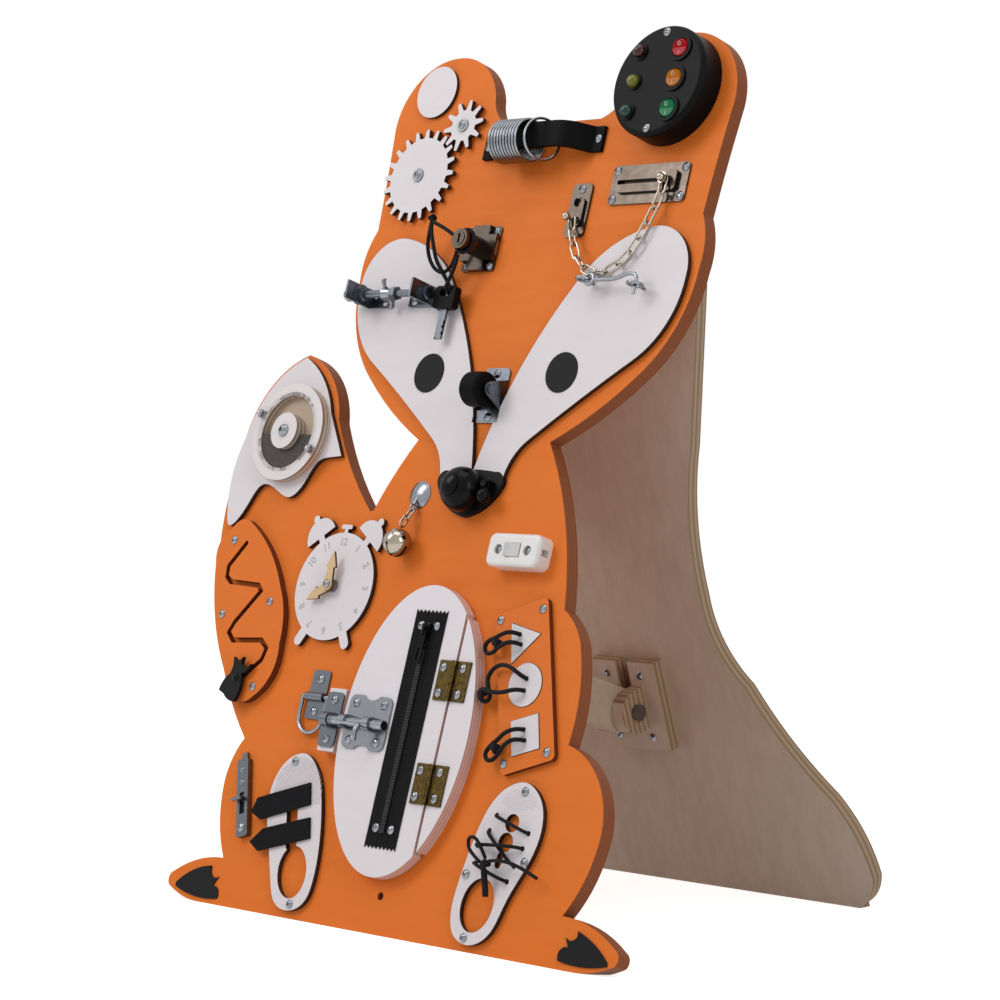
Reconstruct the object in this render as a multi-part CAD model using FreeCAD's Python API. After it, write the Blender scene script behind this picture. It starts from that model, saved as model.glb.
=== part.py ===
import FreeCAD, Part
import math
import os

V = FreeCAD.Vector

# A busy board cut as a sitting fox: a front board and a folding rear panel make an A-frame.
# Front pieces are drawn on the front board: u to the right, v up its slope, h out from its face.
# Rear pieces are drawn on the rear panel: x to the right, s up its slope, w in from its inner face.
# Sizes are in millimetres and degrees.

# The two panels and the stand
LEAN = 17.7
PLY = 12.0
OVERLAY = 4.0
SOLE_TRIM = 4.0
TIE_HOLE_V, TIE_HOLE_R = 28.3, 3.0
HINGE_V = 541.0
KNUCKLE_R, HINGE_PIN_R = 2.5, 1.2
LEAF, LEAF_REACH = 1.2, 20.0
HINGE_U, HINGE_LENGTH = 95.0, 40.0
BATTEN_HALF, BATTEN_RISE, BATTEN_GAP = 125.0, 30.0, 3.0
BRACE_S, BRACE_WIDTH, BRACE_LENGTH = 157.0, 66.0, 73.5
BRACE_PIVOT_W, BRACE_EAR_R = 24.0, 17.0
STRUT_THICK, STRUT_WIDTH, STRUT_REACH = 12.0, 34.0, 138.0
STRUT_PIN_R, STRUT_SIDE_GAP = 4.0, 0.5
EAR_THICK = 11.5
CATCH_PLATE_WIDTH, CATCH_PLATE_LENGTH = 66.0, 60.0

# Fits
RUN = 0.06
CLEAR = 0.3

# Pan-head screws
HEAD_R, HEAD_RISE = 3.4, 2.2
SHANK_R, GRIP = 1.5, 8.0
RECESS_LONG, RECESS_WIDE, RECESS_DEEP = 3.8, 0.9, 1.1
WASHER_R, WASHER = 5.5, 1.0

# Ears and head
BADGE_U, BADGE_V, BADGE_R, BADGE = -136.4, 661.3, 21.7, 3.0
EYE_U, EYE_V, EYE_R, EYE_RISE = 70.0, 426.0, 15.6, 0.6
GEAR_U, GEAR_V, GEAR = -133.0, 590.0, 4.0
GEAR_MODULE, BIG_TEETH, SMALL_TEETH = 3.667, 20, 10
GEAR_LINE = 45.9
BIG_TIP_OVER, SMALL_TIP_OVER, TOOTH_DEPTH = 1.7, 2.7, 5.3
TOOTH_ROOT, TOOTH_TIP = 5.6, 2.6
STRAP_LEFT, STRAP_RIGHT, STRAP_LOW, STRAP_HIGH = -67.0, 58.0, 600.0, 620.0
STRAP_PAD, STRAP_TOP, STRAP_THICK = 3.0, 21.2, 4.0
STRAP_SCREWS = ((-62.4, 610.0), (53.4, 610.0))
RING_R, RING_WIRE = 17.0, 1.1
RING_FIRST_U, RING_PITCH, RING_COUNT, LOOSE_RING_U, LOOSE_RING_TILT = -30.0, 3.1, 10, 11.0, 14.0
LIGHT_U, LIGHT_V, LIGHT_R, LIGHT_HEIGHT, LIGHT_WALL = 118.2, 644.6, 43.5, 21.5, 2.5
LIGHT_ROWS = (23.5, 0.0, -23.5)
LIGHT_LED_U, LED_R, LED_BEZEL_R = -22.0, 5.0, 6.6
ROCKER_U, ROCKER_R, ROCKER_BEZEL_R, ROCKER_TILT = 17.3, 7.2, 10.0, 10.0
LIGHT_SCREW_V = 37.5

# Door chain, keeper, hook and lock
CHAIN_PLATE = (75.7, 150.4, 556.8, 587.3)
CHAIN_SLOT_LEFT, CHAIN_SLOT_RIGHT, CHAIN_SLOT_V, CHAIN_SLOT = 84.0, 135.0, 573.0, 3.5
CHAIN_PLATE_THICK, CHAIN_RAIL = 1.5, 4.5
CHAIN_PATH = ((131.7, 574.2, 5.8), (132, 557, 7.6), (127, 540, 8.4), (121, 525, 8.4), (113, 513, 8.4),
              (102, 504, 8.4), (88, 500.5, 8.4), (74, 504.5, 8.4), (66, 511, 8.4), (59, 521, 8.4),
              (53, 533, 8.4), (47.1, 546.6, 5.8))
CHAIN_LINK_WIDE, CHAIN_WIRE, CHAIN_LINKS = 8.0, 0.9, 13
KEEPER = (38.0, 57.5, 532.7, 575.0)
HOOK_U, HOOK_V, HOOK_H, HOOK_WIRE = 88.0, 494.0, 15.0, 1.4
CATCH_U, CATCH_V, EYE_RING_R, EYE_WIRE = 134.0, 489.0, 5.5, 1.25
LOCK_U, LOCK_V, LOCK_WIDE, LOCK_TALL, LOCK_DEEP = -46.5, 526.5, 35.0, 36.0, 5.6
LOCK_NOTCH_U, LOCK_NOTCH_V, LOCK_FLANGE = 9.0, 7.7, 1.5
BARREL_R, BARREL_TOP, PLUG_R = 8.0, 26.6, 5.5
LOCK_BOLT_TALL, LOCK_BOLT_DEEP = 12.0, 3.0

# Bolt, nuts and brackets on the cheek
BOLT_V, BOLT_H, BOLT_R = 487.0, 16.8, 2.9
BOLT_TIP_U, BOLT_HEAD_U = -172.5, -79.6
BRACKET_LEG, BRACKET_WIDE, BRACKET_THICK = 28.0, 15.0, 2.0
LEFT_BRACKET_U, RIGHT_BRACKET_U = -156.0, -81.0
NUT_R, NUT, WING_SPAN, WING_NUT_U, WING_NUT = 5.6, 5.0, 11.8, -126.5, 8.0
KEY_U, KEY_V, KEY_H, KEY_WIDE, KEY_TALL, KEY_THICK = -62.0, 484.0, 11.0, 22.0, 18.0, 6.5
KEY_BLADE, KEY_BLADE_WIDE, KEY_BLADE_THICK = 24.0, 7.0, 2.0

# Caster, bell, jingle bell and switch
CASTER_U, CASTER_V, CASTER_AXLE_H, CASTER_R, CASTER_WIDE = 1.1, 409.0, 17.0, 13.3, 19.0
CASTER_BASE_WIDE, CASTER_BASE_TALL, CASTER_PLATE, CASTER_AXLE_R = 26.0, 43.0, 1.5, 2.0
BELL_U, BELL_V, BELL_R, BELL_LOW, BELL_RISE, BELL_WALL = 1.0, 333.0, 17.0, 9.0, 16.0, 1.2
BELL_CAP_R, BELL_CAP_RISE, BELL_FOOT_R = 9.0, 3.5, 9.0
LEVER_U, LEVER_V, LEVER_H, LEVER_KNOB_R = 23.5, 338.0, 8.0, 5.5
JINGLE_U, JINGLE_PLATE_V, JINGLE_PLATE_R = -53.5, 330.5, 10.8
JINGLE_V, JINGLE_H, JINGLE_R, JINGLE_WALL = 289.5, 12.4, 11.0, 0.9
JINGLE_RING_V, JINGLE_RING_H = 319.0, 4.6
SWITCH_U, SWITCH_V, SWITCH_LONG, SWITCH_TALL, SWITCH_DEEP = 69.6, 288.5, 52.0, 25.0, 14.0
SWITCH_ROCKER_LONG, SWITCH_ROCKER_WIDE, SWITCH_TILT = 14.0, 10.0, 7.0
SWITCH_SCREW = 14.6

# Spinning wheel on the tail
WHEEL_U, WHEEL_V, WHEEL_R, WHEEL_LOW, WHEEL_HIGH = -209.0, 375.2, 40.0, 4.6, 12.0
WHEEL_BACK, CHAMBER_R, WHEEL_HUB_R = 1.4, 30.0, 14.8
WINDOW, WINDOW_R, LUG_REACH, LUG_R, LUG_TURN = 2.4, 33.0, 36.6, 3.4, 157.0
HUB_TOP, GRAIN_GAP, GRAIN_LEVEL = 13.6, 0.6, -2.0

# Maze, clock and ring pull
MAZE, MAZE_GROOVE = 6.0, 4.2
MAZE_PATH = ((-233, 284), (-248, 264.6), (-247, 256), (-241, 252), (-206.5, 250.6), (-202, 246.4),
             (-224.7, 219.8), (-229, 211.4), (-222, 205.2), (-188.3, 207.2), (-180, 201.6),
             (-182.7, 191.8), (-202, 175))
CAT_U, CAT_V, CAT_THICK = -202.0, 175.0, 3.0
CLOCK_U, CLOCK_V, CLOCK_R = -122.0, 254.5, 42.7
CLOCK_BELL_TURN, CLOCK_BELL_REACH, CLOCK_BELL_R = 35.0, 46.5, 15.5
HAND, HAND_LONG, SPACER = 2.0, 25.5, 3.0
PULL_U, PULL_V, PULL_BAR_R, PULL_WIDE = -114.5, 168.0, 1.6, 19.0
D_RING_HALF, D_RING_DROP = 13.8, 28.0

# Door, its hinges, bolt and zipper
DOOR_U, DOOR_V, DOOR_HALF_WIDE, DOOR_HALF_TALL = -4.4, 149.7, 67.0, 109.7
DOOR_TOP, DOOR_BACK_GAP, DOOR_SPLIT_U, DOOR_SPLIT = 10.0, 1.4, 35.1, 2.8
BRASS_HINGE_LOWS, BRASS_HINGE_TALL, BRASS_LEAF = (97.0, 174.0), 30.0, 16.0
BRASS_KNUCKLE_R, BRASS_PIN_R, BRASS_THICK = 2.2, 1.1, 1.2
BARREL_PLATE = (-66.0, -20.6, 131.0, 172.0)
BARREL_V, BARREL_ROD_R, BARREL_PLATE_THICK = 150.0, 3.6, 1.5
BARREL_GUIDES, BARREL_HANDLE_R = ((-65.0, -58.0), (-39.0, -32.0)), 1.8
BARREL_ROD_TIP, BARREL_ROD_END = -72.8, -18.6
KEEPER_BLOCK = (-92.0, -74.0, 127.0, 175.0)
ZIP_U, ZIP_WIDE, ZIP_LOW, ZIP_HIGH, ZIP_TAPE = -1.0, 32.3, 60.9, 240.3, 1.0
ZIP_TEETH_LOW, ZIP_TEETH_HIGH, ZIP_TEETH, ZIP_TEETH_RISE = 72.0, 232.0, 5.0, 1.5
ZIP_SLIDER_V, ZIP_SLIDER_LONG, ZIP_SLIDER_WIDE = 224.0, 11.0, 7.4

# Puzzle, flush bolt and shoes
PUZZLE_U, PUZZLE_V, PUZZLE_WIDE, PUZZLE_TALL, PUZZLE_TURN = 101.3, 191.8, 51.0, 122.0, 19.0
PUZZLE_GAP, PUZZLE_LOW, PUZZLE_HIGH = 0.4, 0.2, 4.6
TRIANGLE = ((76.0, 236.4), (106.5, 230.4), (84.0, 207.0))
CIRCLE_U, CIRCLE_V, CIRCLE_R = 102.0, 192.6, 16.0
SQUARE_U, SQUARE_V, SQUARE_SIDE, SQUARE_TURN = 112.5, 157.0, 26.0, 18.0
LOOP_CORD, CORD_HOLE = 3.2, 1.8
FLUSH_U, FLUSH_V, FLUSH_LONG, FLUSH_WIDE, FLUSH_TURN = -169.0, 84.0, 62.0, 12.0, 17.6
FLUSH_DEEP, FLUSH_BAR_WIDE, FLUSH_BAR_OUT = 5.0, 6.0, 5.0
SHOE_STRAP, SHOE_STRAP_LOW = 1.6, 4.5
LACE = 2.6

sine, cosine = math.sin(math.radians(LEAN)), math.cos(math.radians(LEAN))
SOLE_MIDDLE = PLY / cosine / 2
# The hinge line in the world, and the rear panel placed from it
PIVOT_Y = HINGE_V * sine + (2 * PLY + KNUCKLE_R) * cosine
PIVOT_Z = HINGE_V * cosine - (2 * PLY + KNUCKLE_R) * sine
PIVOT_S = (PIVOT_Z - (PLY + KNUCKLE_R) * sine) / cosine
REAR_FLOOR_Y = PIVOT_Y + PIVOT_S * sine - (PLY + KNUCKLE_R) * cosine
PANEL_TOP = PIVOT_S - 1.0
# The strut's two centres, seen on the front board
strut_y = REAR_FLOOR_Y - BRACE_S * sine - BRACE_PIVOT_W * cosine
strut_z = BRACE_S * cosine - BRACE_PIVOT_W * sine
STRUT_V = strut_y * sine + strut_z * cosine
STRUT_BACK_H = strut_z * sine - strut_y * cosine
CATCH_H = STRUT_BACK_H + STRUT_REACH
ROD_H = DOOR_TOP + BARREL_PLATE_THICK + BARREL_ROD_R + 1.6

board_screws = []
tube_radii = {}


def flat(u, v):
    """Point on the face of the board."""
    return V(u, v, 0)


def outline(start, *steps):
    """Closed wire: a step is a point, a (middle, end) pair for an arc, or a list for a smooth curve."""
    edges = []
    first = flat(*start)
    here = first
    for step in steps:
        if isinstance(step, list):
            points = [here] + [flat(*place) for place in step]
            curve = Part.BSplineCurve()
            curve.interpolate(points)
            edges.append(curve.toShape())
            there = points[-1]
        elif isinstance(step[0], tuple):
            middle, there = [flat(*place) for place in step]
            edges.append(Part.Arc(here, middle, there).toShape())
        else:
            there = flat(*step)
            edges.append(Part.makeLine(here, there))
        here = there
    if here.distanceToPoint(first) > 0.001:
        edges.append(Part.makeLine(here, first))
    return Part.Wire(edges)


def smooth_loop(points):
    """Closed smooth curve through the points."""
    curve = Part.BSplineCurve()
    curve.interpolate([flat(*place) for place in points], PeriodicFlag=True)
    return Part.Wire([curve.toShape()])


def polygon(points):
    """Closed wire with straight sides."""
    return Part.makePolygon([flat(*place) for place in points] + [flat(*points[0])])


def plate(wire, low, high):
    """Solid over the wire, from one height to another."""
    face = Part.Face(wire)
    face.translate(V(0, 0, low))
    return face.extrude(V(0, 0, high - low))


def disc(u, v, radius, low, high):
    return Part.makeCylinder(radius, high - low, V(u, v, low))


def ball(u, v, h, radius):
    return Part.makeSphere(radius, V(u, v, h))


def block(left, right, near, far, low, high):
    return Part.makeBox(right - left, far - near, high - low, V(left, near, low))


def rounded_block(left, right, near, far, low, high, radius):
    """Block with its four upright edges rounded."""
    shape = block(left, right, near, far, low, high)
    upright = [edge for edge in shape.Edges if abs(edge.tangentAt(edge.FirstParameter).z) > 0.9]
    return shape.makeFillet(radius, upright)


def rod(start, end, radius):
    """Round bar between two points."""
    along = end - start
    return Part.makeCylinder(radius, along.Length, start, along)


def ring(centre, axis, middle_radius, wire_radius):
    return Part.makeTorus(middle_radius, wire_radius, centre, axis)


def slot(places, width, low, high):
    """Track of one width along straight runs."""
    parts = [disc(u, v, width / 2, low, high) for u, v in places]
    for (u0, v0), (u1, v1) in zip(places, places[1:]):
        long = math.hypot(u1 - u0, v1 - v0)
        run = block(0, long, -width / 2, width / 2, low, high)
        run.rotate(V(0, 0, 0), V(0, 0, 1), math.degrees(math.atan2(v1 - v0, u1 - u0)))
        run.translate(flat(u0, v0))
        parts.append(run)
    return joined(parts)


def joined(parts):
    """One solid from several that touch or overlap."""
    whole = parts[0].multiFuse(parts[1:]).removeSplitter()
    return whole.Solids[0] if len(whole.Solids) == 1 else whole


def mirrored(shape):
    return shape.mirror(V(0, 0, 0), V(1, 0, 0))


def turned(shape, u, v, angle):
    """Copy turned about an axis square to the board."""
    copy = shape.copy()
    copy.rotate(flat(u, v), V(0, 0, 1), angle)
    return copy


def along_v(wire, near, far):
    """Solid from an outline drawn in u and h, running along v."""
    shape = plate(wire, -far, -near)
    shape.rotate(V(0, 0, 0), V(1, 0, 0), 90)
    return shape


def along_u(wire, left, right):
    """Solid from an outline drawn in v and h, running along u."""
    shape = plate(wire, left, right)
    shape.rotate(V(0, 0, 0), V(1, 1, 1), 120)
    return shape


def revolved(wire, u, v, h=0.0):
    """Solid turned from a half outline drawn in radius and height."""
    face = Part.Face(wire)
    face.rotate(V(0, 0, 0), V(1, 0, 0), 90)
    shape = face.revolve(V(0, 0, 0), V(0, 0, 1), 360)
    shape.translate(V(u, v, h))
    return shape


def crown(radius, low, rise):
    """Middle and end of an arc that climbs from a rim to the axis and meets it level."""
    round_r = (radius ** 2 + rise ** 2) / (2 * rise)
    middle = radius * 0.5
    return (middle, low + rise - round_r + math.sqrt(round_r ** 2 - middle ** 2)), (0, low + rise)


def holes(places, radius, low=-60.0, high=60.0):
    return Part.makeCompound([disc(u, v, radius, low, high) for u, v in places])


def pan_screw(u, v, seat, end):
    """Cross-head screw: its head rests at the height seat and its shank reaches down to end."""
    wire = outline((0, end - seat), (SHANK_R, end - seat), (SHANK_R, 0), (HEAD_R, 0), (HEAD_R, 0.5),
                   crown(HEAD_R, 0.5, HEAD_RISE - 0.5))
    screw = revolved(wire, 0, 0)
    for across, length in ((RECESS_LONG, RECESS_WIDE), (RECESS_WIDE, RECESS_LONG)):
        screw = screw.cut(block(-across / 2, across / 2, -length / 2, length / 2,
                                HEAD_RISE - RECESS_DEEP, HEAD_RISE + 1))
    screw.rotate(V(0, 0, 0), V(0, 0, 1), (37 * u + 11 * v) % 90)
    screw.translate(V(u, v, seat))
    return screw


def screwed(shape, places, seat):
    """Shape with a hole for each screw, which goes on into the front board."""
    board_screws.extend((u, v, seat) for u, v in places)
    return shape.cut(holes(places, SHANK_R + CLEAR / 3))


def tube(name, points, diameter, blend=0.45):
    """Cord along straight runs joined by tangent arcs."""
    points = [V(*point) for point in points]
    edges = []
    here = points[0]
    for before, corner, after in zip(points, points[1:], points[2:]):
        back = (before - corner).normalize()
        on = (after - corner).normalize()
        half_turn = (math.pi - back.getAngle(on)) / 2
        short = min(before.distanceToPoint(corner), after.distanceToPoint(corner)) * blend
        radius = short / math.tan(half_turn)
        tube_radii.setdefault(name, []).append(round(radius, 1))
        start, end = corner + back * short, corner + on * short
        inward = (back + on).normalize()
        depth = radius / math.cos(half_turn) - radius
        edges.append(Part.makeLine(here, start))
        edges.append(Part.Arc(start, corner + inward * depth, end).toShape())
        here = end
    edges.append(Part.makeLine(here, points[-1]))
    path = Part.Wire(edges)
    section = Part.Wire([Part.Circle(points[0], points[1] - points[0], diameter / 2).toShape()])
    shape = path.makePipeShell([section], True, False)
    expected = math.pi * diameter ** 2 / 4 * path.Length
    print(name, "length", round(path.Length, 1), "volume ratio", round(shape.Volume / expected, 4))
    return shape


def front_board():
    body = plate(outline((0, -SOLE_TRIM), (195, -SOLE_TRIM), (195, 0), ((222, 3.5), (236, 9)),
                         ((238, 13), (234, 20)), ((209, 32), (180, 36.5)), ((196, 71), (199.5, 96)),
                         ((188, 130), (151.6, 154)), ((152, 190), (142, 227.5)),
                         ((134, 239), (120, 250)), ((110, 293), (69.5, 373.8)),
                         ((102, 393), (140, 423)), ((166, 456), (178.5, 505)),
                         ((178, 528), (171, 547)), ((174, 590), (177.5, 626)),
                         ((160, 676), (124, 690)), ((91, 681), (71, 655)),
                         ((62, 636), (48, 627.5)), (0, 627.5)), -PLY, 0)
    tail = plate(outline((-105, 316), ((-140, 352.5), (-165, 389)), ((-183, 423), (-217, 443)),
                         ((-255, 416), (-272, 365)), ((-275.8, 327), (-268, 266)),
                         ((-240, 196), (-186.5, 129)), (-150, 120), (-80, 320)), -PLY, 0)
    board = joined([body, mirrored(body), tail])
    drills = [disc(u, v, SHANK_R + CLEAR / 3, -GRIP - CLEAR, 1) for u, v, seat in board_screws]
    drills += [disc(u, HOOK_V if u < CATCH_U else CATCH_V, EYE_WIRE, -GRIP, 1)
               for u in (HOOK_U - EYE_RING_R, CATCH_U)]
    drills.append(disc(0, TIE_HOLE_V, TIE_HOLE_R, -PLY - 1, 1))
    return [board.cut(Part.makeCompound(drills))]


def rear_panel():
    half = plate(outline((0, -SOLE_TRIM), (183, -SOLE_TRIM), (183, 0), ((195, 11), (201, 26)),
                         ((196, 50), (175, 89)), ((139, 131), (113, 174)), ((90, 213), (86, 246)),
                         ((91, 310), (108, 367)), ((128, 430), (147, 490)), ((150, 510), (150, PANEL_TOP)),
                         (0, PANEL_TOP)), -PLY, 0)
    panel = joined([half, mirrored(half)])
    places = brace_screws() + leaf_screws(PIVOT_S, -1)
    return [panel.cut(holes(places, SHANK_R + CLEAR / 3))]


def leaf_screws(line, side):
    """Two screws in each hinge leaf, on one side of the hinge line."""
    return [(middle + step, line + side * LEAF_REACH * 0.62) for middle in (-HINGE_U, HINGE_U)
            for step in (-HINGE_LENGTH / 4, HINGE_LENGTH / 4)]


def brace_screws():
    return [(across, BRACE_S + up) for across in (-17.5, 17.5) for up in (-26.25, 26.25)]


def back_blocks():
    """Hinge batten and strut catch on the back of the front board."""
    low = -2 * PLY
    batten = block(-BATTEN_HALF, BATTEN_HALF, HINGE_V + BATTEN_GAP, HINGE_V + BATTEN_GAP + BATTEN_RISE,
                   low, -PLY)
    batten = batten.cut(holes(leaf_screws(HINGE_V, 1), SHANK_R + CLEAR / 3, low - 1, low + GRIP + CLEAR))
    catch = [block(-CATCH_PLATE_WIDTH / 2, CATCH_PLATE_WIDTH / 2, STRUT_V - CATCH_PLATE_LENGTH / 2,
                   STRUT_V + CATCH_PLATE_LENGTH / 2, low, -PLY)]
    ear = plate(polygon(((STRUT_V - 22, low), (STRUT_V + 22, low), (STRUT_V + 11, CATCH_H - 13),
                         (STRUT_V - 11, CATCH_H - 13))), 0, EAR_THICK)
    ear.rotate(V(0, 0, 0), V(1, 1, 1), 120)
    inner = STRUT_THICK / 2 + STRUT_SIDE_GAP
    for left in (-inner - EAR_THICK, inner):
        moved = ear.copy()
        moved.translate(V(left, 0, 0))
        catch.append(moved)
    catch.append(rod(V(-inner - EAR_THICK, STRUT_V, CATCH_H), V(inner + EAR_THICK, STRUT_V, CATCH_H),
                     STRUT_PIN_R))
    return [batten, joined(catch)]


def stand_hinge(middle, moving, line, face, out):
    """Half of one butt hinge: a leaf on a face and the knuckles on its side of the pin."""
    third = HINGE_LENGTH / 3
    centre = face + out * KNUCKLE_R
    left = middle - HINGE_LENGTH / 2
    starts = [left + third] if moving else [left, left + 2 * third]
    side = -1 if moving else 1
    gap = CLEAR / 2
    bore = HINGE_PIN_R + RUN if moving else HINGE_PIN_R
    parts = []
    for start in starts:
        low, high = V(start + gap, line, centre), V(start + third - gap, line, centre)
        knuckle = rod(low, high, KNUCKLE_R)
        near, far = sorted((line, line + side * LEAF_REACH))
        tab_low, tab_high = sorted((face, face + out * LEAF))
        parts.append(knuckle.fuse(block(start + gap, start + third - gap, near, far, tab_low, tab_high)))
    near, far = sorted((line + side * (KNUCKLE_R + 1), line + side * LEAF_REACH))
    tab_low, tab_high = sorted((face, face + out * LEAF))
    parts.append(block(left, left + HINGE_LENGTH, near, far, tab_low, tab_high))
    leaf = joined(parts)
    pin = rod(V(left, line, centre), V(left + HINGE_LENGTH, line, centre), bore)
    leaf = leaf.cut(pin).cut(holes(leaf_screws(line, side), SHANK_R + CLEAR / 3))
    return leaf


def leg_hardware():
    """Moving hinge leaves, their screws and the strut's pivot bolt, on the rear panel."""
    parts = [stand_hinge(middle, True, PIVOT_S, -PLY, -1) for middle in (-HINGE_U, HINGE_U)]
    for x, s in leaf_screws(PIVOT_S, -1):
        screw = pan_screw(0, 0, 0, -GRIP)
        screw.rotate(V(0, 0, 0), V(1, 0, 0), 180)
        screw.translate(V(x, s, -PLY - LEAF))
        parts.append(screw)
    parts += [pan_screw(x, s, PLY, PLY - 2 * GRIP) for x, s in brace_screws()]
    side = STRUT_THICK / 2 + STRUT_SIDE_GAP + EAR_THICK
    bolt = rod(V(-side, BRACE_S, BRACE_PIVOT_W), V(side, BRACE_S, BRACE_PIVOT_W), STRUT_PIN_R)
    heads = [rod(V(-side - 3.5, BRACE_S, BRACE_PIVOT_W), V(-side, BRACE_S, BRACE_PIVOT_W), 6.5),
             rod(V(side, BRACE_S, BRACE_PIVOT_W), V(side + 3.5, BRACE_S, BRACE_PIVOT_W), 6.5)]
    parts.append(joined([bolt] + heads))
    return parts


def leg_bracket():
    """Plate with two half-round ears that carry the strut, slotted where the strut folds."""
    base = block(-BRACE_WIDTH / 2, BRACE_WIDTH / 2, BRACE_S - BRACE_LENGTH / 2, BRACE_S + BRACE_LENGTH / 2,
                 0, PLY)
    inner = STRUT_THICK / 2 + STRUT_SIDE_GAP
    parts = [base]
    for left in (-inner - EAR_THICK, inner):
        start, end = V(left, BRACE_S, BRACE_PIVOT_W), V(left + EAR_THICK, BRACE_S, BRACE_PIVOT_W)
        foot = block(left, left + EAR_THICK, BRACE_S - BRACE_EAR_R, BRACE_S + BRACE_EAR_R,
                     PLY / 2, BRACE_PIVOT_W)
        parts += [rod(start, end, BRACE_EAR_R), foot]
    bracket = joined(parts)
    channel = block(-inner, inner, BRACE_S - STRUT_WIDTH / 2 - 1.5, BRACE_S + BRACE_LENGTH, -1, 60)
    bore = rod(V(-60, BRACE_S, BRACE_PIVOT_W), V(60, BRACE_S, BRACE_PIVOT_W), STRUT_PIN_R)
    bracket = bracket.cut(channel).cut(bore).cut(block(-90, 90, 0, 400, -30, 0))
    return [bracket.cut(holes(brace_screws(), SHANK_R + CLEAR / 3))]


def strut():
    """Plank that holds the panels apart, with an open notch over the catch pin."""
    back = STRUT_BACK_H
    half = STRUT_WIDTH / 2
    plank = outline((STRUT_V - half, back), (STRUT_V - half, CATCH_H),
                    ((STRUT_V, CATCH_H + half), (STRUT_V + half, CATCH_H)),
                    (STRUT_V + half, back), ((STRUT_V, back - half), (STRUT_V - half, back)))
    shape = along_u(plank, -STRUT_THICK / 2, STRUT_THICK / 2)
    notch_half = STRUT_PIN_R + 0.6
    reach = STRUT_WIDTH
    down = STRUT_V - reach
    notch = plate(polygon(((STRUT_V - notch_half * 0.707, CATCH_H + notch_half * 0.707),
                           (STRUT_V + notch_half * 0.707, CATCH_H - notch_half * 0.707),
                           (down + 14, CATCH_H - reach - 14), (down - 14, CATCH_H - reach + 14))), -20, 20)
    notch.rotate(V(0, 0, 0), V(1, 1, 1), 120)
    seat = rod(V(-20, STRUT_V, CATCH_H), V(20, STRUT_V, CATCH_H), notch_half)
    bore = rod(V(-20, STRUT_V, back), V(20, STRUT_V, back), STRUT_PIN_R + RUN)
    return [shape.cut(notch.fuse(seat)).cut(bore)]


def cheek():
    return outline((1, 350), ((24, 424), (62, 492)), ((94, 524), (133, 537.5)), ((163, 524), (171, 498)),
                   ((163, 464), (140, 437)), ((98, 408.5), (52, 375)), ((39, 361), (33, 343)))


SHOE_LEFT = ((-115, 123.6), (-132, 113), (-139.6, 90), (-137, 74), (-126, 48), (-116, 24),
             (-107, 10), (-91, 5.6), (-75, 14), (-70.4, 32), (-72, 56), (-80, 88), (-92, 112))
SHOE_RIGHT = ((117, 123), (99, 112), (85, 80), (79, 48), (77.6, 30), (84, 11), (101, 5),
              (118, 14), (128, 38), (142, 68), (147.4, 90), (144, 108), (133, 120))
LACE_HOLES = (((102, 98), (136, 88.4)), ((98, 86.6), (133.4, 77.4)),
              ((89.8, 75), (129, 64.4)), ((91.6, 62.6), (125.4, 53)))


def white_overlays():
    """Painted 4 mm plywood shapes: cheeks, tail tip, badge disc and the two shoe plates."""
    right = plate(cheek(), 0, OVERLAY).cut(disc(EYE_U, EYE_V, EYE_R + 0.05, -1, 9))
    left = mirrored(right)
    left = screwed(left, CHEEK_SCREWS, OVERLAY + BRACKET_THICK)
    left = left.cut(nose_room()).cut(caster_room())
    eye_places = [(HOOK_U - EYE_RING_R, HOOK_V), (CATCH_U, CATCH_V)]
    right = right.cut(nose_room()).cut(caster_room()).cut(holes(eye_places, EYE_WIRE))
    tip = plate(outline((-148, 358.5), [(-160.4, 357.3), (-171.6, 354.5), (-184.2, 335), (-196.8, 323.9),
                                        (-219.2, 331.5), (-231.8, 333.5), (-247.2, 312.5), (-261, 298.5),
                                        (-268, 310)],
                        ((-272.5, 345), (-266, 375)), ((-250, 413), (-215, 439.5)),
                        ((-190, 422), (-171.6, 393.7))), 0, OVERLAY)
    tip = tip.cut(disc(WHEEL_U, WHEEL_V, SHANK_R * 2, -1, 9))
    badge = disc(BADGE_U, BADGE_V, BADGE_R, 0, BADGE)
    left_shoe = plate(smooth_loop(SHOE_LEFT), 0, OVERLAY)
    heel = Part.Wire([Part.Ellipse(flat(-95.2, 34.4), 20, 15.5).toShape()])
    heel.rotate(flat(-95.2, 34.4), V(0, 0, 1), 90 + 14)
    left_shoe = left_shoe.cut(plate(heel, -1, 9)).cut(slot(((-113, 90), (-103, 55)), 12, -1, 9))
    left_shoe = screwed(left_shoe, ((-119, 117), (-89.5, 10.4)), OVERLAY)
    right_shoe = plate(smooth_loop(SHOE_RIGHT), 0, OVERLAY)
    heel = Part.Wire([Part.Ellipse(flat(101.6, 33.4), 19.6, 15.5).toShape()])
    heel.rotate(flat(101.6, 33.4), V(0, 0, 1), 90 - 10)
    right_shoe = right_shoe.cut(plate(heel, -1, 9))
    right_shoe = right_shoe.cut(joined([disc(118.4, 94, 6.6, -1, 9), disc(116, 80, 7, -1, 9)]))
    right_shoe = right_shoe.cut(slot(((113, 64), (114, 70)), 6, -1, 9))
    right_shoe = right_shoe.cut(holes([hole for pair in LACE_HOLES for hole in pair], LACE / 2 + 0.6))
    right_shoe = screwed(right_shoe, ((124.5, 117), (138, 68), (84.6, 53.6), (95.6, 9.4)), OVERLAY)
    return [left, right, tip, badge, left_shoe, right_shoe]


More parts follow.
